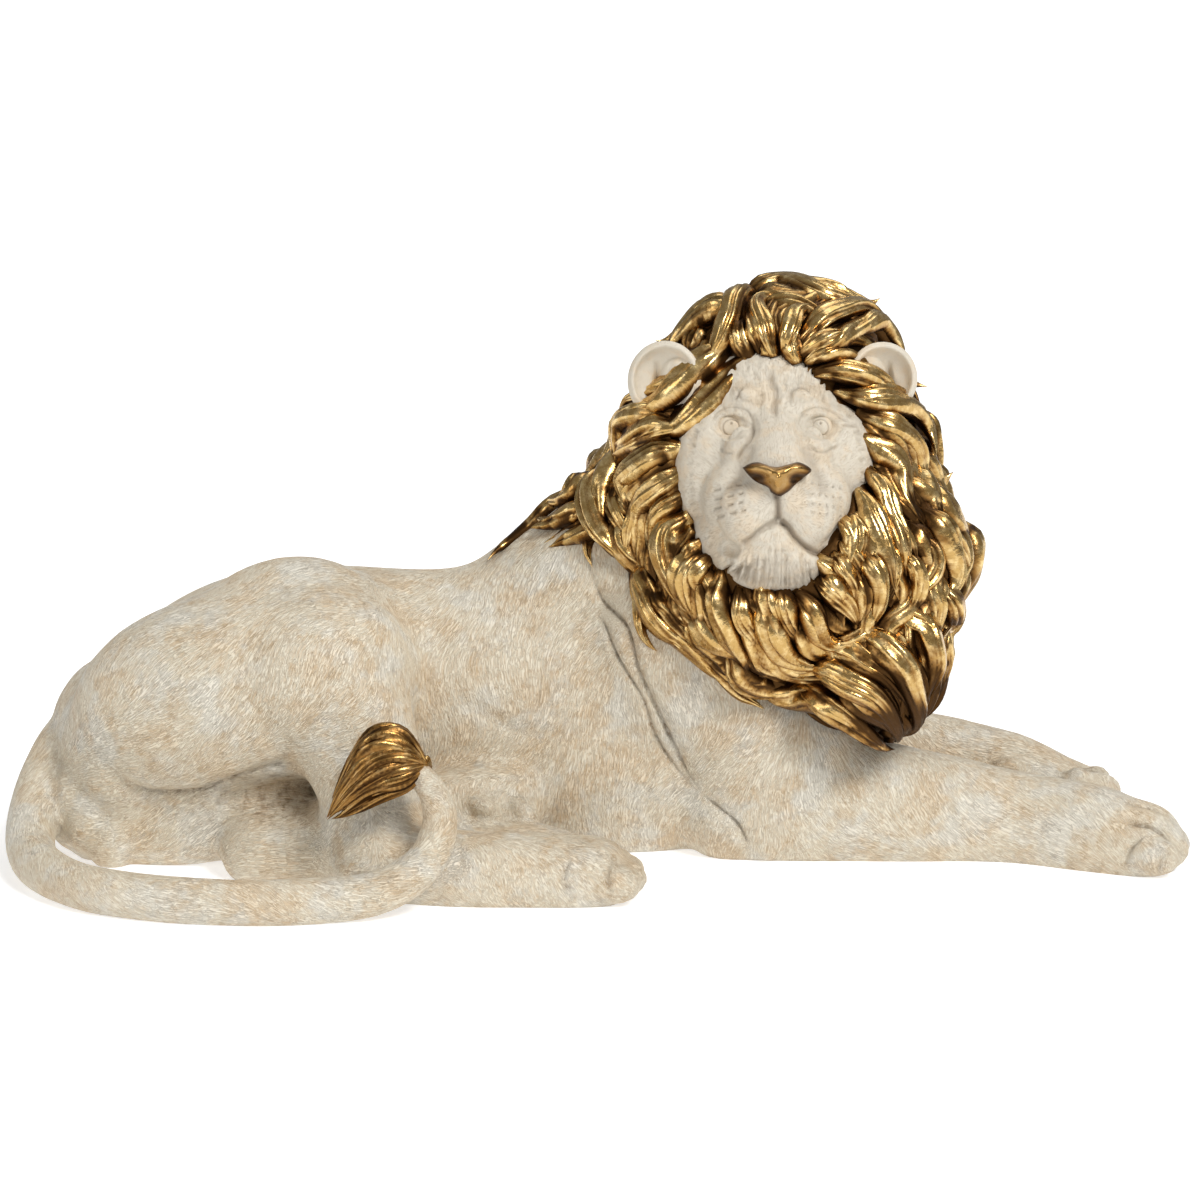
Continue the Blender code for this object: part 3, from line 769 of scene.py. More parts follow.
def make_face():
    """The face, and how far out its skin lies at each eye."""
    clay = open_clay("face")
    lay_head(clay)
    face = fuse(clay, [], FACE_VOXEL, FACE_SMOOTHING)
    skin = FaceSkin(face.data)
    shape_sockets(skin)
    skin.settle()
    floor = tree_of(face)
    depths = []
    for u, v in EYES:
        spot = floor.ray_cast(in_head((u, v, FRONT_OUT)), -FACE_OUT)[0]
        depths.append((INTO_HEAD @ spot).z)
    # Furrow up the forehead, and the knots over the eyes
    skin.strokes(FURROW)
    skin.mounds([(-13.5, 43, 7.5, 7, 1.5), (11.5, 43.5, 7, 7, 1.4)])
    skin.strokes(KNOT_EDGES)
    carve_muzzle(skin)
    skin.settle()
    # Lids, their folds and the pouches under them
    skin.strokes(LIDS)
    carve_whiskers(skin)
    skin.settle()
    carve_hair(skin, np.random.default_rng(4))
    # Painted shade in the face's cuts, by their depth
    skin.note("recess_shade", ramp(skin.recess_shade, 0.35, 1.75))
    skin.settle()
    hidden = skin.local()[:, 2] < FACE_BACK
    skin.note("comb", face_comb(skin))
    drop(face, hidden)
    return face, depths


def face_comb(skin):
    """Hair on the face runs up from the nose over the brow, and back over the cheeks."""
    local = skin.local()
    u, v = local[:, 0], local[:, 1]
    way = np.stack([u * 0.9, v + 12, np.full(len(u), -14.0)], axis=1)
    way[:, 1] = np.where(v < -25, -14, way[:, 1])
    return skin.combed(unit(way) @ np.array(HEAD_TURN).T)


def drop(piece, marks):
    """Takes away the marked points, which other pieces cover, and closes the hole."""
    with opened(piece.data) as skin:
        covered = [skin.verts[i] for i in np.flatnonzero(marks)]
        bmesh.ops.delete(skin, geom=covered, context="VERTS")
        rim = [e for e in skin.edges if e.is_boundary]
        bmesh.ops.holes_fill(skin, edges=rim, sides=0)


EYES_APART = 20.0  # how far from the middle each eyeball is made, before it is set in place
IRIS_RING = 4.5
PUPIL_WAY = (0.0, 0.28, 0.96)


def make_eyes(depths):
    """Eyeballs with a ring round the iris and a pupil dot, on one piece."""
    clay = open_clay("eyes")
    for apart in (-EYES_APART, EYES_APART):
        bpy.ops.mesh.primitive_uv_sphere_add(
            segments=96, ring_count=64, radius=EYE_SIZE, location=(apart, 0, 0)
        )
    bpy.ops.object.mode_set(mode="OBJECT")
    skin = Skin(clay.data)
    points = skin.points
    left = points[:, 0] < 0
    for (u, v), depth, part, apart in zip(EYES, depths, (left, ~left), (-EYES_APART, EYES_APART)):
        points[part, 0] -= apart
        out = points[part] / EYE_SIZE
        off = np.arccos(np.clip(out[:, 2], -1, 1)) * EYE_SIZE
        spot = np.linalg.norm(out - np.array(PUPIL_WAY), axis=1) * EYE_SIZE
        lift = -0.5 * bell(off - IRIS_RING, 0.45) - 0.7 * bell(spot, 0.65)
        # The iris ring and the pupil are darkened by their depth: painted shade
        skin.recess_shade[part] = np.clip(-lift * 1.6, 0, 1)
        lift += 0.25 * bell(spot - 1.2, 0.4)
        seat = np.array((u, v, depth + EYE_PROUD - EYE_SIZE))
        points[part] += out * lift[:, None] + seat
    skin.points = taken(points, HEAD_FRAME)
    skin.settle()
    skin.note("comb", face_comb(skin))
    skin.note("recess_shade", skin.recess_shade)
    return clay


# Middle and half sizes of each ear, across and up the head
EARS = ((-55.0, 51.0, 18.2, 19.6), (53.5, 52.0, 17.6, 18.0))


EAR_BACK = -30.0


def in_ear(local, margin):
    return any(
        math.hypot((local[0] - u) / a, (local[1] - v) / b) < margin and local[2] > EAR_BACK
        for u, v, a, b in EARS
    )


def band(start, rings, sides):
    """The faces between rings of points that follow each other from the start."""
    return [
        (a + k, a + sides + k, a + sides + (k + 1) % sides, a + (k + 1) % sides)
        for a in range(start, start + (rings - 1) * sides, sides)
        for k in range(sides)
    ]


def fan(hub, start, sides):
    """The faces that close a ring round one point."""
    return [(hub, start + k, start + (k + 1) % sides) for k in range(sides)]


def ear_relief(x, y, share, side, low):
    """How far out the ear's rim, lump, fold and tufts stand at a place in it, and its lean."""
    out = x * side
    bowl = -6 * np.clip(1 - (share / 0.82) ** 2, 0, 1) ** 0.6
    rim = 2.4 * bell(share - 0.88, 0.1) * (1 - 0.8 * low)
    inner = np.hypot((out + 0.34) / 0.5, (y + 0.08) / 0.66)
    lump = 6.5 * np.clip(1 - inner**2, 0, 1) ** 0.6
    fold = 4.0 * bell(out - 0.2 - 0.35 * (y - 0.25) ** 2, 0.075)
    fold = fold * np.clip(1.4 - np.abs(y + 0.1) / 0.45, 0, 1)
    hairs = np.abs(np.sin(11 * x + 6 * y * side + 3 * y**2)) ** 0.6 - 0.6
    hairs = 1.5 * hairs * np.clip(1.2 - inner, 0, 1)
    lean = -6 * out + 3.0 * y - 12 * np.clip(-y - 0.45, 0, 1)
    return bowl + rim + lump + hairs - fold, lean


EAR_SIDES = 120
EAR_RINGS = 44
EAR_RIM = (1.01, 0.97, 0.88, 0.7)  # the rings that close the cup behind
EAR_RIM_BACK = (2.0, 6.0, 13.0, 30.0)


def make_ears():
    """Cupped ears: a thick smooth rim round a bowl with folds and tufts, as one piece."""
    points, faces = [], []
    shares = np.concatenate([np.linspace(0.03, 1, EAR_RINGS), EAR_RIM])
    depth_back = np.concatenate([np.zeros(EAR_RINGS), EAR_RIM_BACK])
    around = np.linspace(0, 2 * math.pi, EAR_SIDES, endpoint=False)
    for (u, v, half_u, half_v), side in zip(EARS, (-1, 1)):
        start = len(points)
        low = np.clip(-np.sin(around + 0.5 * side), 0, 1)
        for share, back in zip(shares, depth_back):
            x, y = np.cos(around) * share, np.sin(around) * share
            relief, lean = ear_relief(x, y, share, side, low)
            w = relief - back + lean
            points += [in_head(p) for p in zip(u + x * half_u, v + y * half_v, w)]
        middle = float(np.mean(w)) + EAR_RIM_BACK[-1] - 6.5
        points += [in_head((u, v, middle)), in_head((u, v, EAR_BACK))]
        hub = len(points) - 2
        faces += band(start, len(shares), EAR_SIDES)
        faces += fan(hub, start, EAR_SIDES)
        faces += fan(hub + 1, hub - EAR_SIDES, EAR_SIDES)
    ears = solid_piece("ears", points, faces)
    soften(ears, 2)
    skin = Skin(ears.data)
    skin.note("comb", face_comb(skin))
    return ears


NOSE_MIDDLE = np.array((-1.0, 2.2))
NOSE_OUT = 57.5
NOSE_CROWN = 3.2
NOSE_BACK = 40.0
NOSE_RINGS = 21
NOSTRIL_APART, NOSTRIL_DEPTH = 9.5, 7.4


def nose_out(flat, share):
    """How far out the nose stands at places on it, share of the way from middle to edge."""
    u, v = flat[:, 0] - NOSE_MIDDLE[0], flat[:, 1]
    crown = NOSE_OUT + NOSE_CROWN * np.sqrt(np.clip(1 - share**2.4, 0, 1)) - 2.5 * share**4
    arch = -0.013 * u**2 - 0.30 * np.abs(v - 3) - 0.02 * (v - 3) ** 2
    ridge = 2.0 * bell(u, 2.6) * ramp(v, 6, 1)
    hollow = 0
    for side in (-1, 1):
        hollow += NOSTRIL_DEPTH * bell(u - side * NOSTRIL_APART, 4.0) * bell(v - 1.0, 2.6)
        ridge += 1.8 * bell(u - side * 11, 4.5) * bell(v - 6.4, 1.8)
    return crown + arch + ridge - hollow


def make_nose():
    """The gilt nose: a lobe each side with its nostril, and the ridge between them."""
    edge = eased(NOSE_EDGE + NOSE_EDGE[:1], 4)[:-1]
    points = []
    for share in np.linspace(0, 1, NOSE_RINGS + 1)[1:]:
        flat = NOSE_MIDDLE + (edge - NOSE_MIDDLE) * share
        points += [(a, b, c) for (a, b), c in zip(flat, nose_out(flat, share))]
    lid = len(points)
    points += [(a, b, NOSE_BACK) for a, b in edge * 0.9]
    hub = len(points)
    points += [(*NOSE_MIDDLE, NOSE_OUT + NOSE_CROWN + 0.2), (0.0, 0.0, NOSE_BACK)]
    faces = band(0, NOSE_RINGS + 1, len(edge))
    faces += fan(hub, 0, len(edge)) + fan(hub + 1, lid, len(edge))
    return solid_piece("nose", [in_head(p) for p in points], faces)


def solid_piece(name, points, faces):
    mesh = bpy.data.meshes.new(name)
    mesh.from_pydata([tuple(p) for p in points], [], faces)
    with opened(mesh) as skin:
        bmesh.ops.recalc_face_normals(skin, faces=skin.faces)
    return linked(name, mesh)


# The hairline is an oval across and up the face
FACE_HALF_WIDTH = 45.0
FACE_HALF_HEIGHT = 58.0
FACE_MIDDLE = 6.0
MANE_TIP = (64.0, -132.0)

# Locks seen from the front, each traced from root to tip across and up the head
TRACED_LOCKS = [
    [(-10, 100), (-17, 87), (-23, 72), (-31, 56), (-49, 43), (-68, 39), (-76, 35)],
    [(-18, 93), (-31, 93), (-42, 82), (-50, 71)],
    [(-25, 101), (-37, 96), (-49, 84), (-57, 72)],
    [(-24, 69), (-35, 55), (-45, 43), (-56, 34), (-72, 33)],
    [(-46, 35), (-58, 32), (-73, 27), (-84, 18), (-89, 5)],
    [(-45, 27), (-60, 24), (-74, 14), (-82, 0), (-84, -13), (-81, -26)],
    [(-46, 18), (-58, 13), (-70, 2), (-73, -11), (-68, -18)],
    [(-45, 8), (-52, 0), (-63, -10), (-71, -22), (-73, -34)],
    [(-42, -5), (-50, -13), (-55, -26), (-52, -39), (-42, -50)],
    [(-41, -18), (-49, -27), (-50, -42), (-44, -58), (-34, -67)],
    [(-73, 34), (-86, 31), (-91, 21), (-92, 11), (-89, -2)],
    [(-84, 8), (-89, -5), (-86, -18), (-79, -30), (-70, -42)],
    [(-92, 5), (-95, -5), (-105, -10), (-114, -9)],
    [(-89, -11), (-97, -16), (-106, -19), (-118, -24)],
    [(-37, -34), (-44, -47), (-41, -63), (-31, -74), (-18, -82), (-12, -95)],
    [(-63, -34), (-65, -47), (-60, -63), (-50, -77), (-34, -90)],
    [(-26, -43), (-28, -59), (-21, -74), (-12, -87), (-17, -96)],
    [(-17, -51), (-15, -64), (-8, -75), (-10, -87)],
    [(-5, -53), (-2, -66), (4, -79), (16, -87), (28, -90)],
    [(8, -53), (17, -63), (22, -74), (33, -80), (41, -75)],
    [(17, -48), (28, -56), (38, -66), (41, -75)],
    [(-58, -46), (-53, -62), (-41, -75), (-26, -84)],
    [(-44, -64), (-34, -78), (-21, -88), (-4, -95)],
    [(-25, -78), (-13, -90), (3, -98), (20, -103)],
    [(-3, -91), (10, -102), (27, -110), (45, -118)],
    [(14, -96), (27, -108), (42, -118), (58, -130)],
    [(16, 60), (26, 63), (36, 61), (45, 52)],
    [(-8, -96), (8, -100), (24, -106), (40, -114), (54, -125)],
    [(16, -88), (32, -96), (48, -106), (57, -117), (61, -130)],
    [(40, -75), (54, -85), (64, -98), (69, -114), (64, -127)],
    [(-10, 100), (1, 102), (17, 103), (33, 95), (46, 94), (51, 98)],
    [(-18, 93), (-8, 96), (8, 98), (24, 90), (36, 87), (49, 85)],
    [(12, 67), (20, 77), (32, 83), (48, 82), (59, 74), (65, 66)],
    [(20, 61), (33, 72), (48, 77), (61, 76)],
    [(20, 54), (31, 54), (43, 49), (54, 40), (66, 30)],
    [(30, 45), (41, 40), (54, 39), (67, 35), (73, 26), (72, 14)],
    [(40, 34), (53, 29), (64, 21), (70, 8), (70, -8)],
    [(43, 21), (53, 14), (59, 2), (64, -11), (72, -22)],
    [(45, 8), (51, -5), (56, -18), (64, -29), (69, -43)],
    [(40, -5), (45, -18), (49, -30), (53, -43), (61, -59)],
    [(36, -18), (38, -30), (33, -43), (28, -51)],
    [(70, 40), (78, 29), (86, 19), (89, 6), (81, 6)],
    [(77, 11), (83, -2), (89, -14), (96, -27), (102, -42), (99, -56), (88, -59)],
    [(72, -11), (80, -24), (86, -39), (85, -51), (77, -59)],
    [(86, -50), (86, -64), (83, -82), (78, -96)],
    [(61, -34), (69, -47), (67, -59), (59, -64)],
    [(56, -59), (65, -67), (72, -82), (75, -96), (69, -114)],
    [(40, -34), (46, -47), (49, -59), (46, -74)],
    [(80, -50), (83, -66), (77, -79)],
    [(0, 64), (-4, 76), (-7, 85), (-2, 90), (8, 88)],
    [(6, 64), (8, 74), (12, 82), (24, 84)],
    [(-8, 66), (-10, 79), (-5, 88)],
    [(-16, 84), (-29, 80), (-39, 73), (-46, 62)],
    [(13, 64), (26, 70), (38, 69), (47, 62)],
    [(-31, -36), (-38, -47), (-37, -60)],
    [(30, -18), (36, -28), (35, -42), (31, -53)],
    [(27, -37), (33, -48), (36, -61)],
    [(20, -46), (28, -53), (32, -65)],
    [(2, -50), (4, -60), (9, -70), (17, -78)],
    [(-3, -60), (0, -70), (7, -81), (19, -89)],
    [(36, 70), (47, 77), (58, 76), (68, 68)],
    [(-6, -49), (-4, -58), (2, -67), (12, -72)],
]


def face_gap(local):
    """0 on the hairline, negative inside the face and 1 at twice its size."""
    u, v = local[..., 0], local[..., 1]
    return np.hypot(u / FACE_HALF_WIDTH, (v - FACE_MIDDLE) / FACE_HALF_HEIGHT) - 1


# Short locks that stand off the mane at their tips
FLICKS = [
    [(14, 95), (26, 99), (38, 97), (46, 93), (52, 97)],
    [(-24, 90), (-37, 88), (-49, 83), (-60, 76)],
    [(60, 74), (68, 66), (74, 55), (80, 50)],
    [(84, 12), (89, 6), (92, -2), (91, 8)],
]


LOOSE_FROM = 0.5
LONGEST_JUMP = 2.6  # a loose lock's step over the carrier, as a multiple of its step seen flat


def between(way, marks, stops):
    """Across and up of the way at each stop along it."""
    return [np.interp(stops, marks, way[:, a]) for a in (0, 1)]


class Hair:
    """The surface that carries the locks, and which way the hair runs over it."""

    def __init__(self, collar, body):
        copies = [copy_of(piece) for piece in (collar, body)]
        clay = open_clay("carrier")
        self.tree = tree_of(fuse(clay, copies, CARRIER_VOXEL, CARRIER_SMOOTHING))
        self.body = tree_of(body)
        mids, runs = [], []
        for route in TRACED_LOCKS:
            way = eased(route, 4)
            mids += list(0.5 * (way[1:] + way[:-1]))
            runs += list(unit(np.diff(way, axis=0)))
        self.mids, self.runs = np.array(mids), np.array(runs)

    def flow(self, local):
        """Which way the hair runs where no lock was traced, in the head's terms."""
        away = Vector((local.x, local.y - FACE_MIDDLE, 0))
        away = away.normalized() if away.length > 1 else Vector((0, 1, 0))
        crown = max(0.0, away.y) ** 1.5
        side = 1 if local.x > -8 else -1
        sweep = Vector((side * 0.8 * crown + 0.12, -0.9 * (1 - crown), -0.4 * crown - 0.1))
        heading = (away * (0.65 - 0.3 * crown) + sweep).normalized()
        behind = min(1.0, max(0.0, (-45 - local.z) / 30))
        heading = (heading * (1 - behind) + Vector((-0.45, -1, -0.2)) * behind).normalized()
        low = min(1.0, max(0.0, (-20 - local.y) / 50))
        point = Vector((MANE_TIP[0] - local.x, MANE_TIP[1] - local.y, 0)).normalized()
        return (heading * (1 - 0.7 * low) + point * 0.7 * low).normalized()

    def heading(self, spot, normal):
        local = INTO_HEAD @ spot
        run = self.flow(local)
        far2 = ((self.mids - (local.x, local.y)) ** 2).sum(axis=1)
        nearest = math.sqrt(far2.min())
        trust = min(1.0, max(0.0, (24 - nearest) / 10)) * min(1.0, max(0.0, (local.z + 58) / 20))
        if trust > 0:
            weight = 1 / (far2 + 12) ** 1.6
            pull = (self.runs * weight[:, None]).sum(axis=0)
            pull = Vector((pull[0], pull[1], 0)).normalized()
            run = run * (1 - trust) + pull * trust
        way = HEAD_TURN @ run
        way -= normal * way.dot(normal)
        return way.normalized()

    def follow(self, root, length, bend, phase, stations):
        """A path over the carrier from a root, bending one way and back."""
        spot, normal = self.tree.find_nearest(root)[:2]
        spots, normals = [], []
        step = length / stations
        for k in range(stations + 1):
            spots.append(spot)
            normals.append(normal)
            t = k / stations
            way = self.heading(spot, normal)
            swing = bend * math.sin(2.0 * math.pi * t + phase)
            way = Matrix.Rotation(swing, 3, normal) @ way
            spot, normal = self.tree.find_nearest(spot + way * step)[:2]
        return spots, normals

    def trace(self, route, stations):
        """A traced route laid on the carrier from the front."""
        way = eased(route, 8)
        marks = run_lengths(way)
        even = np.linspace(0, marks[-1], stations + 1)
        flat = [Vector(at) for at in zip(*between(way, marks, even), np.zeros(stations + 1))]
        farthest = LONGEST_JUMP * marks[-1] / stations
        spots, normals = [], []
        for k, spot in enumerate(flat):
            hit, normal = self.tree.ray_cast(in_head((spot.x, spot.y, FRONT_OUT)), -FACE_OUT)[:2]
            loose = face_gap(np.array(spot)) > LOOSE_FROM
            if k and loose and (hit is None or (hit - spots[-1]).length > farthest):
                # Past the collar's edge the lock goes on round it, not on to what lies behind.
                ahead = spots[-1] + HEAD_TURN @ (spot - flat[k - 1])
                hit, normal = self.tree.find_nearest(ahead)[:2]
            elif hit is None:
                hit, normal = self.tree.find_nearest(in_head((spot.x, spot.y, -30)))[:2]
            spots.append(hit)
            normals.append(normal)
        return spots, normals


# A lock's section, from side to side: its carved top, and three points below it
TOP = np.linspace(-1, 1, 17)
COARSE_TOP = TOP[::2]
UNDER_X = (0.7, 0.0, -0.7)
UNDER_Y = (-1.1, -1.5, -1.1)
ROOT_SINK = 5.0
LOCK_SWAY = 0.9
MAP_SIZE = 500  # each lock gets its own place on the hair map within this


def raised(spots, normals, lift, tilt, curl):
    """A lock's middle line: sunk at the root, lifted along it and curled up at the tip."""
    centres, ups = (np.array([list(p) for p in rows]) for rows in (spots, normals))
    for _ in range(3):
        for rows in (centres, ups):
            rows[1:-1] = 0.25 * rows[:-2] + 0.5 * rows[1:-1] + 0.25 * rows[2:]
    t = np.linspace(0, 1, len(centres))
    local = taken(centres, INTO_HEAD)
    hem = np.where(local[:, 2] > -30, np.clip(1 - face_gap(local) / 0.16, 0, 1), 0)
    rise = lift * np.clip(0.3 + t / 0.3, 0, 1) + LOCK_SWAY * np.sin(2 * np.pi * t + tilt)
    rise -= ROOT_SINK * np.clip(1 - t / 0.3, 0, 1) ** 1.5 * (1 - hem) + hem * 0.3 * lift
    rise += curl * t**4
    return centres + ups * rise[:, None], ups


def framed(centres, ups, turns):
    """The steps of a lock with the ways along, aside and up, turned about the first."""
    ahead = np.gradient(centres, axis=0)
    stride = np.linalg.norm(ahead, axis=1)
    ahead = unit(ahead)
    side = unit(np.cross(ahead, ups))
    top = np.cross(side, ahead)
    cos, sin = np.cos(turns)[:, None], np.sin(turns)[:, None]
    return stride, ahead, side * cos + top * sin, top * cos - side * sin


def lock_top(t, x, half, high, width, strands, drift, turn):
    """Height of a lock's top and depth of its grooves. Rows run along it, columns across it."""
    t, half, high = t[:, None], half[:, None], high[:, None]
    phase = drift + 1.6 * t + 0.8 * np.sin(4 * t + drift)
    skew = x + 0.16 * np.sin(2.6 * x + drift)
    part = (0.5 * strands * (turn * skew + 1) + 0.32 * phase) % 1.0
    wave = np.minimum(part**0.7, (1 - part) / 0.16)
    fine = np.abs(np.sin(2.5 * np.pi * strands * (skew + 1) + 2 * phase))
    envelope = (1 - x**4) * np.clip(t * 6, 0.3, 1)
    depth = (0.085 * width + 0.45) * half / (0.5 * width)
    depth = depth * (1 + 0.35 * np.sin(5 * skew + 2 * drift))
    arch = np.clip(1 - np.abs(x) ** 2.3, 0, 1) ** 0.55
    ripple = 0.6 * np.sin(t * width * 0.8 + 2.6 * x + drift) * arch
    height = high * (1.3 * arch - 0.3) + ripple * np.clip(half, 0, 4) / 4
    height = height + depth * envelope * (1.35 * wave + 0.2 * fine - 0.9)
    return height, (1 - wave) * envelope


class Locks:
    """Gathers locks and makes them one piece, with hair running along its UV map."""

    def __init__(self):
        self.points, self.faces, self.uvs, self.grooves = [], [], [], []

    def add(self, spots, normals, width, lift, strands, tilt, rng, tip=0.35, across=TOP, curl=0.0):
        """Adds a lock along the spots. It tapers from tip, a share of its length, to its end."""
        n, m = len(spots), len(across) + len(UNDER_X)
        t = np.linspace(0, 1, n)
        centres, ups = raised(spots, normals, lift, tilt, curl)
        turns = tilt * np.sin(np.pi * t) * 0.55
        stride, ahead, side, top = framed(centres, ups, turns)
        half = 0.5 * width * np.clip(0.45 + t / 0.4, 0, 1)
        half *= np.clip(1 - ramp(t, tip, 1) ** 1.5, 0.02, 1) ** 0.95
        high = 0.66 * half + 0.5 * np.clip((1 - t) * 4, 0, 1)
        drift, turn = rng.uniform(0, 6.28), rng.choice((-1, 1))
        y, groove = lock_top(t, across, half, high, width, strands, drift, turn)
        wide = np.concatenate([across, UNDER_X]) * half[:, None]
        tall = np.concatenate([y, UNDER_Y * high[:, None]], axis=1)
        shell = centres[:, None] + side[:, None] * wide[..., None] + top[:, None] * tall[..., None]
        start = sum(len(p) for p in self.points)
        hubs = [shell[0].mean(axis=0), shell[-1].mean(axis=0) + ahead[-1] * 0.5]
        self.points += [shell.reshape(-1, 3), np.array(hubs)]
        # The points beneath a lock count as deep in a groove, for painted shade there
        groove = np.concatenate([groove, np.ones((n, len(UNDER_X)))], axis=1)
        self.grooves.append(groove.ravel().tolist() + [1, 0])
        # The hair map runs along the lock and across it, in millimetres
        run = np.concatenate([[0], np.cumsum(stride[1:])]) + rng.uniform(0, MAP_SIZE)
        shift = rng.uniform(0, MAP_SIZE)
        flat = np.stack([shift + wide, np.tile(run[:, None], (1, m))], axis=2).reshape(-1, 2)
        quads = np.array(band(0, n, m))[:, [0, 3, 2, 1]]
        self.uvs.append(flat[quads].reshape(-1, 2))
        self.faces += (quads[:, ::-1] + start).tolist()
        hub, last = start + n * m, (n - 1) * m
        for k in range(m):
            j = (k + 1) % m
            self.faces.append([start + k, start + j, hub])
            self.faces.append([hub - m + j, hub - m + k, hub + 1])
            self.uvs.append(flat[[0, j, k]])
            self.uvs.append(flat[[last, last + k, last + j]])

    def piece(self, name):
        """The locks as one piece, its skin and how deep in a groove each point lies."""
        piece = solid_piece(name, unsettled(np.concatenate(self.points)), self.faces)
        hair_map = piece.data.uv_layers.new(name="hair")
        hair_map.data.foreach_set("uv", np.concatenate(self.uvs).ravel())
        return piece, Skin(piece.data), np.concatenate(self.grooves)


def unsettled(points):
    """The points shifted by slow waves, since nothing modelled by hand runs quite true."""
    for reach, size in ((17.0, 1.5), (7.5, 0.4)):
        a, b, c = points.T / reach
        move = (
            np.sin(b + 1.7 * np.sin(c + 0.6) + 2.1 * np.sin(0.7 * a)),
            np.sin(c + 1.5 * np.sin(a + 2.2) + 1.9 * np.sin(0.8 * b)),
            np.sin(a + 1.6 * np.sin(b + 4.1) + 2.0 * np.sin(0.6 * c)),
        )
        points = points + size * np.stack(move, axis=1)
    return points


def scattered(points, spacing, rng):
    """Some of the points, no two closer than the spacing."""
    kept, cells = [], {}
    around = list(itertools.product((-1, 0, 1), repeat=3))
    for i in rng.permutation(len(points)):
        p = points[i]
        cell = (p // spacing).astype(int)
        near = [j for step in around for j in cells.get(tuple(cell + step), ())]
        if all(((points[j] - p) ** 2).sum() >= spacing**2 for j in near):
            kept.append(i)
            cells.setdefault(tuple(cell), []).append(i)
    return kept


def make_collar():
    """The mane's ground, drawn in where the face covers it."""
    clay = open_clay("mane_ground")
    lay_collar()
    collar = fuse(clay, [], BODY_VOXEL, BODY_SMOOTHING)
    skin = Skin(collar.data)
    local = skin.local()
    front = ramp(local[:, 2], -40, -20)
    swell = 1.0 - front * ramp(-face_gap(local), 0.16, 0.36) * 12
    skin.points += skin.normals * swell[:, None]
    skin.settle()
    return collar


LOCK_STATIONS, FILL_STATIONS, BACK_STATIONS = 24, 21, 16
MANE_EDGE = 0.7
HAIRLINE = 0.12

# Locks laid by rule: the back begins at a depth in the head's frame, and the underside at a height
BACK_FROM = -50.0
UNDERSIDE = -84.0
SEEN_SPACING, BACK_SPACING = 11.2, 9.4
LEAST_STATIONS = 9

# The second round, over what is still bare behind
BARE_FROM = -45.0
BARE_GAP = 4.6
BARE_GRID, BARE_SPACING = 4.0, 7.0


def second_side(part, side):
    """On which side of a traced lock the second one lies, given the side that would be first."""
    before, along, after = (face_gap(beside(part, aside, 0.0)) for aside in (-9.0, 0.0, 9.0))
    inner = 1 if before.mean() > after.mean() else -1
    if along.mean() > MANE_EDGE:
        return inner
    if along.min() < HAIRLINE and abs(after.mean() - before.mean()) > HAIRLINE:
        # Clear of the face
        return -inner
    return side


def lay_traced(hair, bunch, rng):
    """The traced locks, each with a second one beside it. Returns the spots they run over."""
    laid = []
    for part in (part for route in TRACED_LOCKS for part in parted(route)):
        top_lift, side = rng.uniform(3.5, 6.0), rng.choice((-1, 1))
        for aside, lift in ((0, top_lift), (second_side(part, side), 1.5)):
            path = beside(part, aside * rng.uniform(7, 11), rng.uniform(-0.3, 0.3) * abs(aside))
            spots, normals = hair.trace(path, LOCK_STATIONS)
            if any(in_ear(INTO_HEAD @ spot, 1.1) for spot in spots):
                if aside:
                    continue
                lift = 7.5
            laid += spots
            length = sum((b - a).length for a, b in zip(spots, spots[1:]))
            width = min(17.0, 8.0 + length * 0.14) * rng.uniform(0.8, 1.1)
            strands, tilt = int(rng.integers(2, 5)), rng.uniform(-1.2, 1.2)
            curl = rng.uniform(-2, 2)
            bunch.add(spots, normals, width, lift, strands, tilt, rng, curl=curl)
    for route in FLICKS:
        spots, normals = hair.trace(route, LOCK_STATIONS)
        bunch.add(spots, normals, 13.0, 4.0, 3, 0.6, rng, tip=0.2, curl=8.0)
    return laid


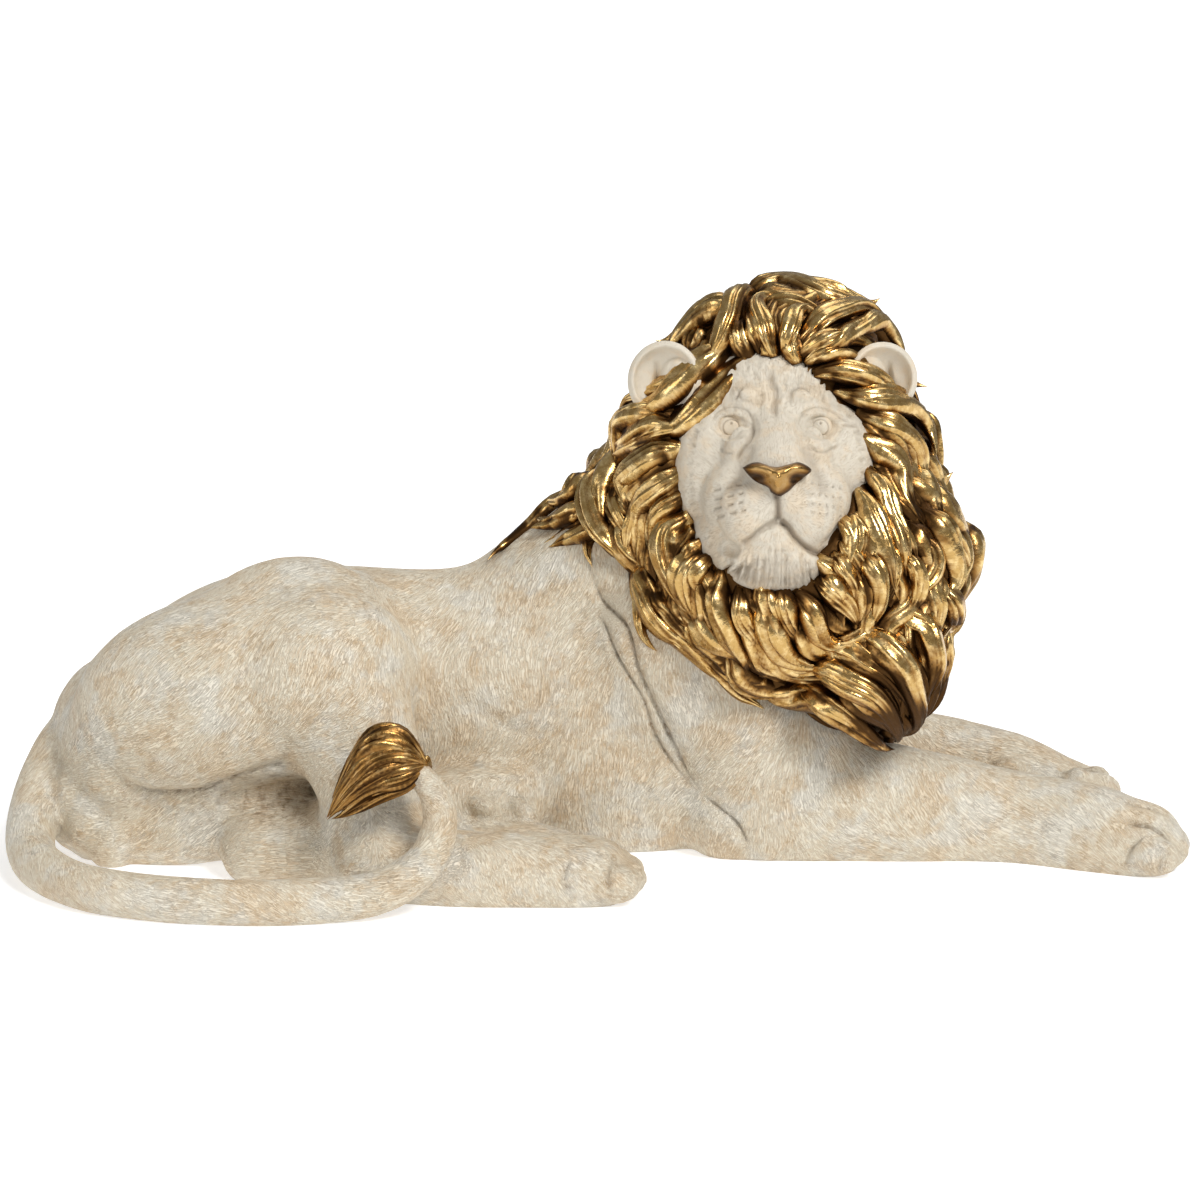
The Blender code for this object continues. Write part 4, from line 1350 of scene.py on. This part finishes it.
def lay_between(hair, collar, under, back, laid, rng):
    """Locks over the rest of the collar, and a second round of them on what is bare behind."""
    skin = Skin(collar.data)
    local = skin.local()
    gap = face_gap(local)
    seen_roots = [i for i in scattered(skin.points, SEEN_SPACING, rng) if local[i, 2] > BACK_FROM]
    back_roots = [i for i in scattered(skin.points, BACK_SPACING, rng) if local[i, 2] <= BACK_FROM]

    def takes_a_lock(i, least):
        on_face = gap[i] < -0.08 and local[i, 2] > -30
        return not (on_face or in_ear(local[i], 1.0) or buried(hair.body, skin.points[i], least))

    def lay(i):
        seen = local[i, 2] > BACK_FROM
        length, bend = rng.uniform(42, 70), rng.uniform(0.3, 0.8) * rng.choice((-1, 1))
        stations = FILL_STATIONS if seen else BACK_STATIONS
        root = Vector(skin.points[i])
        spots, normals = hair.follow(root, length, bend, rng.uniform(0, 6.28), stations)
        in_ears = (k for k, spot in enumerate(spots) if in_ear(INTO_HEAD @ spot, 0.85))
        kept = next(in_ears, len(spots))
        if kept < LEAST_STATIONS:
            return
        spots, normals = spots[:kept], normals[:kept]
        laid.extend(spots)
        bunch, top = (under, TOP) if seen else (back, COARSE_TOP)
        width = rng.uniform(9, 16)
        lift = rng.uniform(-1.5, 2.5) if seen else rng.uniform(0.0, 4.0)
        lift -= 4 * (local[i, 1] < UNDERSIDE)
        strands, tilt = int(rng.integers(2, 5)), rng.uniform(-1.3, 1.3)
        curl = rng.uniform(-2.5, 1.5)
        bunch.add(spots, normals, width, lift, strands, tilt, rng, across=top, curl=curl)

    for i in seen_roots + back_roots:
        if takes_a_lock(i, 3.0):
            lay(i)
    near = KDTree(len(laid))
    for k, spot in enumerate(laid):
        near.insert(spot, k)
    near.balance()
    bare = [
        i
        for i in scattered(skin.points, BARE_GRID, rng)
        if local[i, 2] < BARE_FROM
        and local[i, 1] > UNDERSIDE
        and near.find(skin.points[i])[2] > BARE_GAP
    ]
    for k in scattered(skin.points[bare], BARE_SPACING, rng):
        if takes_a_lock(bare[k], 0.0):
            lay(bare[k])


def make_mane(collar, body):
    """Locks over the collar: the traced ones on top, the others tucked under and between."""
    hair = Hair(collar, body)
    rng = np.random.default_rng(11)
    front, under, back = Locks(), Locks(), Locks()
    laid = lay_traced(hair, front, rng)
    lay_between(hair, collar, under, back, laid, rng)
    return front, under, back


PART_LENGTH = 50.0


def parted(route):
    """A long route as shorter ones that overlap, since no lock runs the mane's whole length."""
    way = eased(route, 8)
    marks = run_lengths(way)
    count = max(1, round(marks[-1] / PART_LENGTH))
    if count == 1:
        return [route]
    reach = marks[-1] / count
    parts = []
    for k in range(count):
        stops = np.linspace(max(0, (k - 0.25) * reach), min(marks[-1], (k + 1.2) * reach), 7)
        parts.append(np.stack(between(way, marks, stops), axis=1))
    return parts


def beside(route, aside, along):
    """The route moved to one side and slid along itself."""
    way = np.array(route, float)
    run = np.gradient(way, axis=0)
    size = np.linalg.norm(run, axis=1)[:, None]
    across = np.stack([-run[:, 1], run[:, 0]], axis=1) / size
    return way + across * aside + run * along * len(way) * 0.5


def buried(tree, point, least):
    """Whether a point stands less than so far out of what the tree holds."""
    spot, normal = tree.find_nearest(Vector(point))[:2]
    return (Vector(point) - spot).dot(normal) < least


TUFT_START, TUFT_END = Vector((-84, -83, 69)), Vector((-135, -84, 46))
TUFT_LAYERS = ((9, 0.0), (8, 2.6))  # strands in each layer, and how far it lies below the first
TUFT_BULGE = 33.0
TUFT_FAT = 9.5


def make_tuft(rng):
    """A leaf-shaped tuft of strands that fan out from the tail and meet at its tip."""
    bunch = Locks()
    along = TUFT_END - TUFT_START
    for layer, (count, below) in enumerate(TUFT_LAYERS):
        for k in range(count):
            share = (k + 0.5 * layer) / (count - 1 + 0.5 * layer)
            bulge = TUFT_BULGE * share - 3.0
            sway, drift, reach = rng.uniform(0.5, 1.6), rng.uniform(0, 6.28), rng.uniform(0.86, 1.0)
            spots = []
            for t in reach * np.arange(19) / 18:
                arc = math.sin(math.pi * t**0.85) ** 0.85
                fat = math.sin(math.pi * (0.12 + 0.76 * share)) * math.sin(math.pi * t) ** 0.6
                spot = TUFT_START + along * t + Vector((-4 * share * arc, 0, bulge * arc))
                spot.y -= TUFT_FAT * fat - below
                spot.z += sway * arc * math.sin(7 * t + drift)
                spots.append(spot)
            up = (share - 0.5) * 1.6
            normals = [Vector((0, -math.cos(up), math.sin(up)))] * len(spots)
            width, tilt = rng.uniform(7.0, 9.5), rng.uniform(-1, 1)
            bunch.add(spots, normals, width, 0.5, 3, tilt, rng, tip=0.55, across=COARSE_TOP)
    return bunch


class Tone:
    """A socket of a paint. Arithmetic on it adds the nodes that work it out."""

    def __init__(self, paint, socket):
        self.paint, self.socket = paint, socket

    def math(self, operation, *values):
        sockets = dict(enumerate(values))
        return self.paint.node("ShaderNodeMath", {"operation": operation}, sockets)

    def __add__(self, other):
        return self.math("ADD", self, other)

    def __sub__(self, other):
        return self.math("SUBTRACT", self, other)

    def __rsub__(self, other):
        return self.math("SUBTRACT", other, self)

    def __mul__(self, other):
        return self.math("MULTIPLY", self, other)

    __radd__ = __add__
    __rmul__ = __mul__

    def between(self, low, high):
        """0 below low, 1 above high and eased between."""
        return self.paint.node(
            "ShaderNodeMapRange",
            {"interpolation_type": "SMOOTHSTEP"},
            {"Value": self, "From Min": low, "From Max": high},
        )

    def over(self, other):
        return self.math("MAXIMUM", self, other)


class Paint:
    """A finish, built from nodes."""

    def __init__(self, name, **constants):
        self.material = bpy.data.materials.new(name)
        self.material.use_nodes = True
        self.tree = self.material.node_tree
        self.shader = self.tree.nodes["Principled BSDF"]
        for socket, value in constants.items():
            self.set(socket.replace("_", " "), value)

    def set(self, socket, value):
        self.give(self.shader.inputs[socket], value)

    def give(self, socket, value):
        if isinstance(value, Tone):
            self.tree.links.new(value.socket, socket)
        else:
            socket.default_value = value

    def node(self, kind, settings=None, sockets=None, output=0):
        made = self.tree.nodes.new(kind)
        for name, value in (settings or {}).items():
            setattr(made, name, value)
        for name, value in (sockets or {}).items():
            self.give(made.inputs[name], value)
        return Tone(self, made.outputs[output])

    def mixed(self, factor, first, second):
        return self.node(
            "ShaderNodeMix", {"data_type": "RGBA"}, {0: factor, 6: first, 7: second}, output=2
        )

    def vector(self, operation, *values, output=0):
        sockets = dict(enumerate(values))
        return self.node("ShaderNodeVectorMath", {"operation": operation}, sockets, output)

    def scaled(self, vector, by):
        return self.node("ShaderNodeVectorMath", {"operation": "SCALE"}, {0: vector, "Scale": by})

    def place(self):
        """Where a point is on the piece, in millimetres."""
        return self.scaled(self.node("ShaderNodeTexCoord", output="Object"), 1 / MM)

    def noise(self, place, size, detail=2.0, rough=0.5, warp=0.0):
        sockets = {
            "Vector": place,
            "Scale": 1 / size,
            "Detail": detail,
            "Roughness": rough,
            "Distortion": warp,
        }
        return self.node("ShaderNodeTexNoise", None, sockets)

    def note(self, name, output="Fac"):
        return self.node("ShaderNodeAttribute", {"attribute_name": name}, None, output)

    def bump(self, height, depth):
        sockets = {"Height": height, "Distance": depth, "Strength": 1.0}
        return self.node("ShaderNodeBump", None, sockets)


def strokes(paint, place, comb, cell, width, length, seed, low=0.5, high=0.62):
    """Short cuts combed along the coat: near 1 in a cut and 0 between them."""
    moved = paint.vector("ADD", place, (seed * 37.0, seed * 11.0, seed * 23.0))
    sockets = {"Vector": moved, "Scale": 1 / cell}
    patch = paint.node("ShaderNodeTexVoronoi", None, sockets, "Position")
    tint = paint.node("ShaderNodeTexVoronoi", None, sockets, "Color")
    inside = paint.vector("SUBTRACT", moved, patch)
    along = paint.vector("DOT_PRODUCT", inside, comb, output="Value")
    squeezed = paint.vector(
        "ADD", paint.scaled(inside, 1 / width), paint.scaled(comb, along * (1 / length - 1 / width))
    )
    spread = paint.vector("ADD", squeezed, paint.scaled(tint, 60.0))
    return paint.noise(spread, 1.0, detail=1.0).between(low, high)


CREAM = (0.74, 0.67, 0.53, 1)
CHALK = (0.80, 0.765, 0.675, 1)
# A darker copy of CHALK for the face, ears and eyes: painted shade
SHADED_FACE_CHALK = (0.65, 0.615, 0.53, 1)
PEACH = (0.73, 0.57, 0.38, 1)
OCHRE = (0.48, 0.33, 0.18, 1)
GREY = (0.40, 0.36, 0.29, 1)
UMBER = (0.13, 0.085, 0.045, 1)
# Dark brown for painted shade in cuts and recesses
RECESS_SHADE_BROWN = (0.20, 0.135, 0.08, 1)


def coat_paint():
    paint = Paint("cream_paint", Roughness=0.6, Metallic=0.0)
    place = paint.place()
    comb = paint.note("comb", "Vector")
    cuts = strokes(paint, place, comb, 7.0, 0.42, 4.4, 1, 0.51, 0.6)
    cuts = cuts.over(strokes(paint, place, comb, 9.5, 0.58, 6.0, 2, 0.51, 0.61))
    broad = strokes(paint, place, comb, 15.0, 1.5, 11.0, 3, 0.42, 0.7)
    warm = paint.noise(place, 20.0, 4.0, 0.65).between(0.44, 0.62)
    aside = paint.vector("ADD", place, (91.0, 7.0, 55.0))
    cool = paint.noise(aside, 24.0, 4.0, 0.65).between(0.47, 0.66)
    # Random blotches: they set how strong the painted shade in cuts and recesses is
    grime_and_shade_mottle = paint.noise(place, 5.0, 3.0, 0.65).between(0.45, 0.7)
    ground = paint.mixed(warm * 0.5, CREAM, PEACH)
    ground = paint.mixed(cool * 0.65, ground, CHALK)
    ground = paint.mixed(broad * (0.06 + 0.14 * warm), ground, OCHRE)
    # Ochre and grey, and some umber, in the fur cuts: partly the figure's tan wash, partly painted
    # shade in the grooves
    cut_tint_and_shade = paint.mixed(cool, OCHRE, GREY)
    colour = paint.mixed(cuts * (0.36 + 0.2 * warm + 0.16 * grime_and_shade_mottle), ground, cut_tint_and_shade)
    colour = paint.mixed(cuts * grime_and_shade_mottle * 0.14, colour, UMBER)
    # Painted shade: brown by the depth of cuts and hollows, stronger in blotches
    colour = paint.mixed(paint.note("recess_shade") * (0.22 + 0.6 * grime_and_shade_mottle), colour, RECESS_SHADE_BROWN)
    paint.set("Base Color", colour)
    paint.set("Normal", paint.bump(1 - cuts * 0.6 - broad * 0.45, 0.5 * MM))
    return paint.material


def face_paint(name, carved):
    """Cream over the carved skin, darker in its cuts: partly a tan wash and partly painted shade.
    Carved says how deep those are.
    """
    paint = Paint(name, Roughness=0.55, Metallic=0.0)
    place = paint.place()
    comb = paint.note("comb", "Vector")
    cuts = strokes(paint, place, comb, 5.0, 0.4, 2.8, 5, 0.5, 0.72)
    warm = paint.noise(place, 13.0, 4.0, 0.65).between(0.45, 0.64)
    # Random blotches: they set how strong the painted shade in the cuts is, and add umber grime
    grime_and_shade_mottle = paint.noise(place, 3.5, 4.0, 0.65).between(0.45, 0.7)
    ground = paint.mixed(0.22 + warm * 0.35, SHADED_FACE_CHALK, PEACH)
    colour = paint.mixed(cuts * (0.17 + 0.18 * warm + 0.10 * grime_and_shade_mottle) * carved, ground, OCHRE)
    colour = paint.mixed(grime_and_shade_mottle * 0.08, colour, UMBER)
    # Painted shade: brown by the depth of cuts and recesses
    colour = paint.mixed(paint.note("recess_shade") * 0.62, colour, RECESS_SHADE_BROWN)
    paint.set("Base Color", colour)
    fine = paint.noise(place, 1.2, 3.0)
    paint.set("Normal", paint.bump(fine * 0.2 - cuts * (0.7 * carved), 0.26 * MM))
    return paint.material


GOLD = (0.58, 0.37, 0.13, 1)
BRIGHT_GOLD = (0.92, 0.69, 0.33, 1)
BROWN = (0.055, 0.025, 0.008, 1)
ORANGE = (0.26, 0.115, 0.025, 1)


def gold_paint(name="gold_paint", mapped=True):
    paint = Paint(name, Metallic=1.0)
    place = paint.place()
    hollow = paint.note("hollow")
    mottle = paint.noise(place, 5.0, 4.0, 0.6)
    specks = paint.noise(place, 0.8, 2.0, 0.6)
    colour = paint.mixed(mottle.between(0.4, 0.7), GOLD, BRIGHT_GOLD)
    if mapped:
        lay = paint.node("ShaderNodeUVMap", {"uv_map": "hair"})
        lay = paint.vector("MULTIPLY", lay, (1 / 0.9, 1 / 30.0, 1.0))
        streak = paint.noise(lay, 1.0, 2.0, 0.5, 0.25)
        hollow = hollow + 0.2 * streak.between(0.42, 0.75)
    # Orange, then dark brown, where the hollow mark is high: painted shade between, in and under
    # the locks
    colour = paint.mixed((hollow + 0.3 * mottle).between(0.28, 0.78) * 0.85, colour, ORANGE)
    colour = paint.mixed((hollow + 0.3 * mottle).between(0.62, 1.05) * 0.94, colour, BROWN)
    paint.set("Base Color", colour)
    paint.set("Roughness", 0.16 + 0.1 * mottle.between(0.3, 0.75) + 0.2 * hollow)
    hammered = paint.noise(place, 2.4, 2.0, 0.5)
    relief = 0.2 * mottle + 0.03 * specks + 0.35 * hammered
    if mapped:
        relief = relief + 0.42 * streak
    paint.set("Normal", paint.bump(relief, 0.45 * MM))
    return paint.material


EASED_UNDER_TOP = 9.0
CLEAR_OF_BOX = 0.05


def keep_in_box(piece):
    """Eases the topmost locks down, and trims a hair's breadth that passes the solid's box."""
    skin = Skin(piece.data)
    low, high = (np.array(corner) / MM for corner in cad_box)
    top = skin.points[:, 2]
    ease_from = high[2] - EASED_UNDER_TOP
    proud = top > ease_from
    top[proud] = ease_from + EASED_UNDER_TOP * np.tanh((top[proud] - ease_from) / EASED_UNDER_TOP)
    skin.points[:] = np.clip(skin.points, low + CLEAR_OF_BOX, high - CLEAR_OF_BOX)
    skin.points[:, 2] = np.maximum(skin.points[:, 2], 0)
    skin.settle()


def finish(piece, paint):
    """Brings a piece to metres, smooths its shading, paints it and fixes it to the figure."""
    keep_in_box(piece)
    piece.data.transform(Matrix.Scale(MM, 4))
    piece.data.shade_smooth()
    piece.data.materials.clear()
    piece.data.materials.append(paint)
    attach(piece, "root")


def main():
    body = make_body()
    coat = make_coat(body)
    collar = make_collar()
    face, depths = make_face()
    eyes = make_eyes(depths)
    ears = make_ears()
    nose = make_nose()
    front, under, back = make_mane(collar, body)
    tuft = make_tuft(np.random.default_rng(5))
    collar_tree = tree_of(collar)
    gold = gold_paint()
    made = [front.piece("mane_front"), under.piece("mane_under"), back.piece("mane_back")]
    shade_hollows([(skin, grooves) for _, skin, grooves in made], collar_tree)
    made.append(tuft.piece("tail_tuft"))
    _, skin, grooves = made[-1]
    # Painted shade in the strands' grooves and on their undersides
    underside_shade = np.clip(-skin.normals[:, 2] + 0.1, 0, 1)
    skin.note("hollow", np.clip(0.22 + 0.7 * grooves + 0.4 * underside_shade, 0, 1))
    # The ground shows only in the gaps between locks and is painted dark all over: painted shade
    ground = Skin(collar.data)
    ground.note("hollow", np.ones(len(ground.points)))
    for piece, _, _ in made:
        finish(piece, gold)
    plain_gold = gold_paint("gold_ground", mapped=False)
    finish(collar, plain_gold)
    skin = Skin(nose.data)
    # Darker deeper in: painted shade in the nostrils and round the nose's back
    skin.note("hollow", 0.44 + 0.56 * ramp(skin.local()[:, 2], 57, 52))
    finish(nose, plain_gold)
    smooth_cream = face_paint("smooth_cream_paint", 0.25)
    finish(coat, coat_paint())
    finish(face, face_paint("face_cream_paint", 1.0))
    finish(ears, smooth_cream)
    finish(eyes, smooth_cream)
    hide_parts("lion")
    for spare in (body, bpy.data.objects["carrier"]):
        bpy.data.objects.remove(spare)


HOLLOW_CELL = 7.5


def shade_hollows(made, collar_tree):
    """Notes painted shade on the locks: how far each point lies below the locks around it, how deep
    in a groove, and how far it faces down.
    """
    cells, heights = [], []
    for skin, _ in made:
        near = [collar_tree.find_nearest(Vector(p)) for p in skin.points]
        feet = np.array([list(f[0]) for f in near])
        cells.append([tuple(cell) for cell in np.floor(feet / HOLLOW_CELL).astype(int)])
        heights.append(np.array([f[3] for f in near]))
    top = {}
    for key, h in zip(itertools.chain(*cells), itertools.chain(*heights)):
        top[key] = max(h, top.get(key, -1))
    for (skin, grooves), group, high in zip(made, cells, heights):
        limit = np.array([top[key] for key in group])
        depth = np.clip((limit - high - 1.5) / 5.0, 0, 1)
        # Painted shade on faces turned down
        underside_shade = np.clip(-skin.normals[:, 2] - 0.05, 0, 1)
        skin.note("hollow", np.clip(depth + 0.4 * grooves + 0.45 * underside_shade, 0, 1))


def sun(name, azimuth, elevation, strength, spread):
    """A far, soft lamp: azimuth from the front towards the tail, in degrees."""
    lamp = bpy.data.lights.new(name, "SUN")
    lamp.energy = strength
    lamp.angle = math.radians(spread)
    light = linked(name, lamp)
    a, e = math.radians(azimuth), math.radians(elevation)
    rays = Vector((math.sin(a) * math.cos(e), math.cos(a) * math.cos(e), -math.sin(e)))
    light.rotation_euler = rays.to_track_quat("-Z", "Y").to_euler()


SUNS = [("key", -36, 46, 2.2, 20), ("fill", 50, 26, 0.5, 30), ("top", -140, 62, 0.7, 40)]
WHITE = (1, 1, 1, 1)
FLOOR_GLOW = 0.55
SKY_LIGHT, SKY_SEEN = 0.28, 1.0
CAMERA_AIM = Vector((0, 0.016, 0.1296))
CAMERA_RISE = math.radians(14)
CAMERA_AWAY = 2.4
CAMERA_LENS = 142.98


def studio():
    scene = bpy.context.scene
    bpy.ops.object.select_all(action="DESELECT")
    bpy.ops.mesh.primitive_plane_add(size=40)
    floor = bpy.context.active_object
    floor.name = "floor"
    pale = Paint("floor_white", Base_Color=(0.7, 0.7, 0.7, 1), Roughness=0.95)
    pale.set("Emission Color", WHITE)
    pale.set("Emission Strength", FLOOR_GLOW)
    floor.data.materials.append(pale.material)
    # The sky is seen white but lights the figure less
    world = bpy.data.worlds.new("studio")
    scene.world = world
    world.use_nodes = True
    nodes, links = world.node_tree.nodes, world.node_tree.links
    lighting, seen = nodes["Background"], nodes.new("ShaderNodeBackground")
    for sky, strength in ((lighting, SKY_LIGHT), (seen, SKY_SEEN)):
        sky.inputs["Color"].default_value = WHITE
        sky.inputs["Strength"].default_value = strength
    choice = nodes.new("ShaderNodeMixShader")
    links.new(nodes.new("ShaderNodeLightPath").outputs["Is Camera Ray"], choice.inputs[0])
    links.new(lighting.outputs[0], choice.inputs[1])
    links.new(seen.outputs[0], choice.inputs[2])
    links.new(choice.outputs[0], nodes["World Output"].inputs["Surface"])
    for row in SUNS:
        sun(*row)
    camera = linked("camera", bpy.data.cameras.new("camera"))
    camera.data.sensor_width = 36
    camera.data.lens = CAMERA_LENS
    out = Vector((0, -math.cos(CAMERA_RISE), math.sin(CAMERA_RISE)))
    camera.location = CAMERA_AIM + out * CAMERA_AWAY
    camera.rotation_euler = (math.pi / 2 - CAMERA_RISE, 0, 0)
    scene.camera = camera
    scene.view_settings.view_transform = "Standard"


main()
studio()
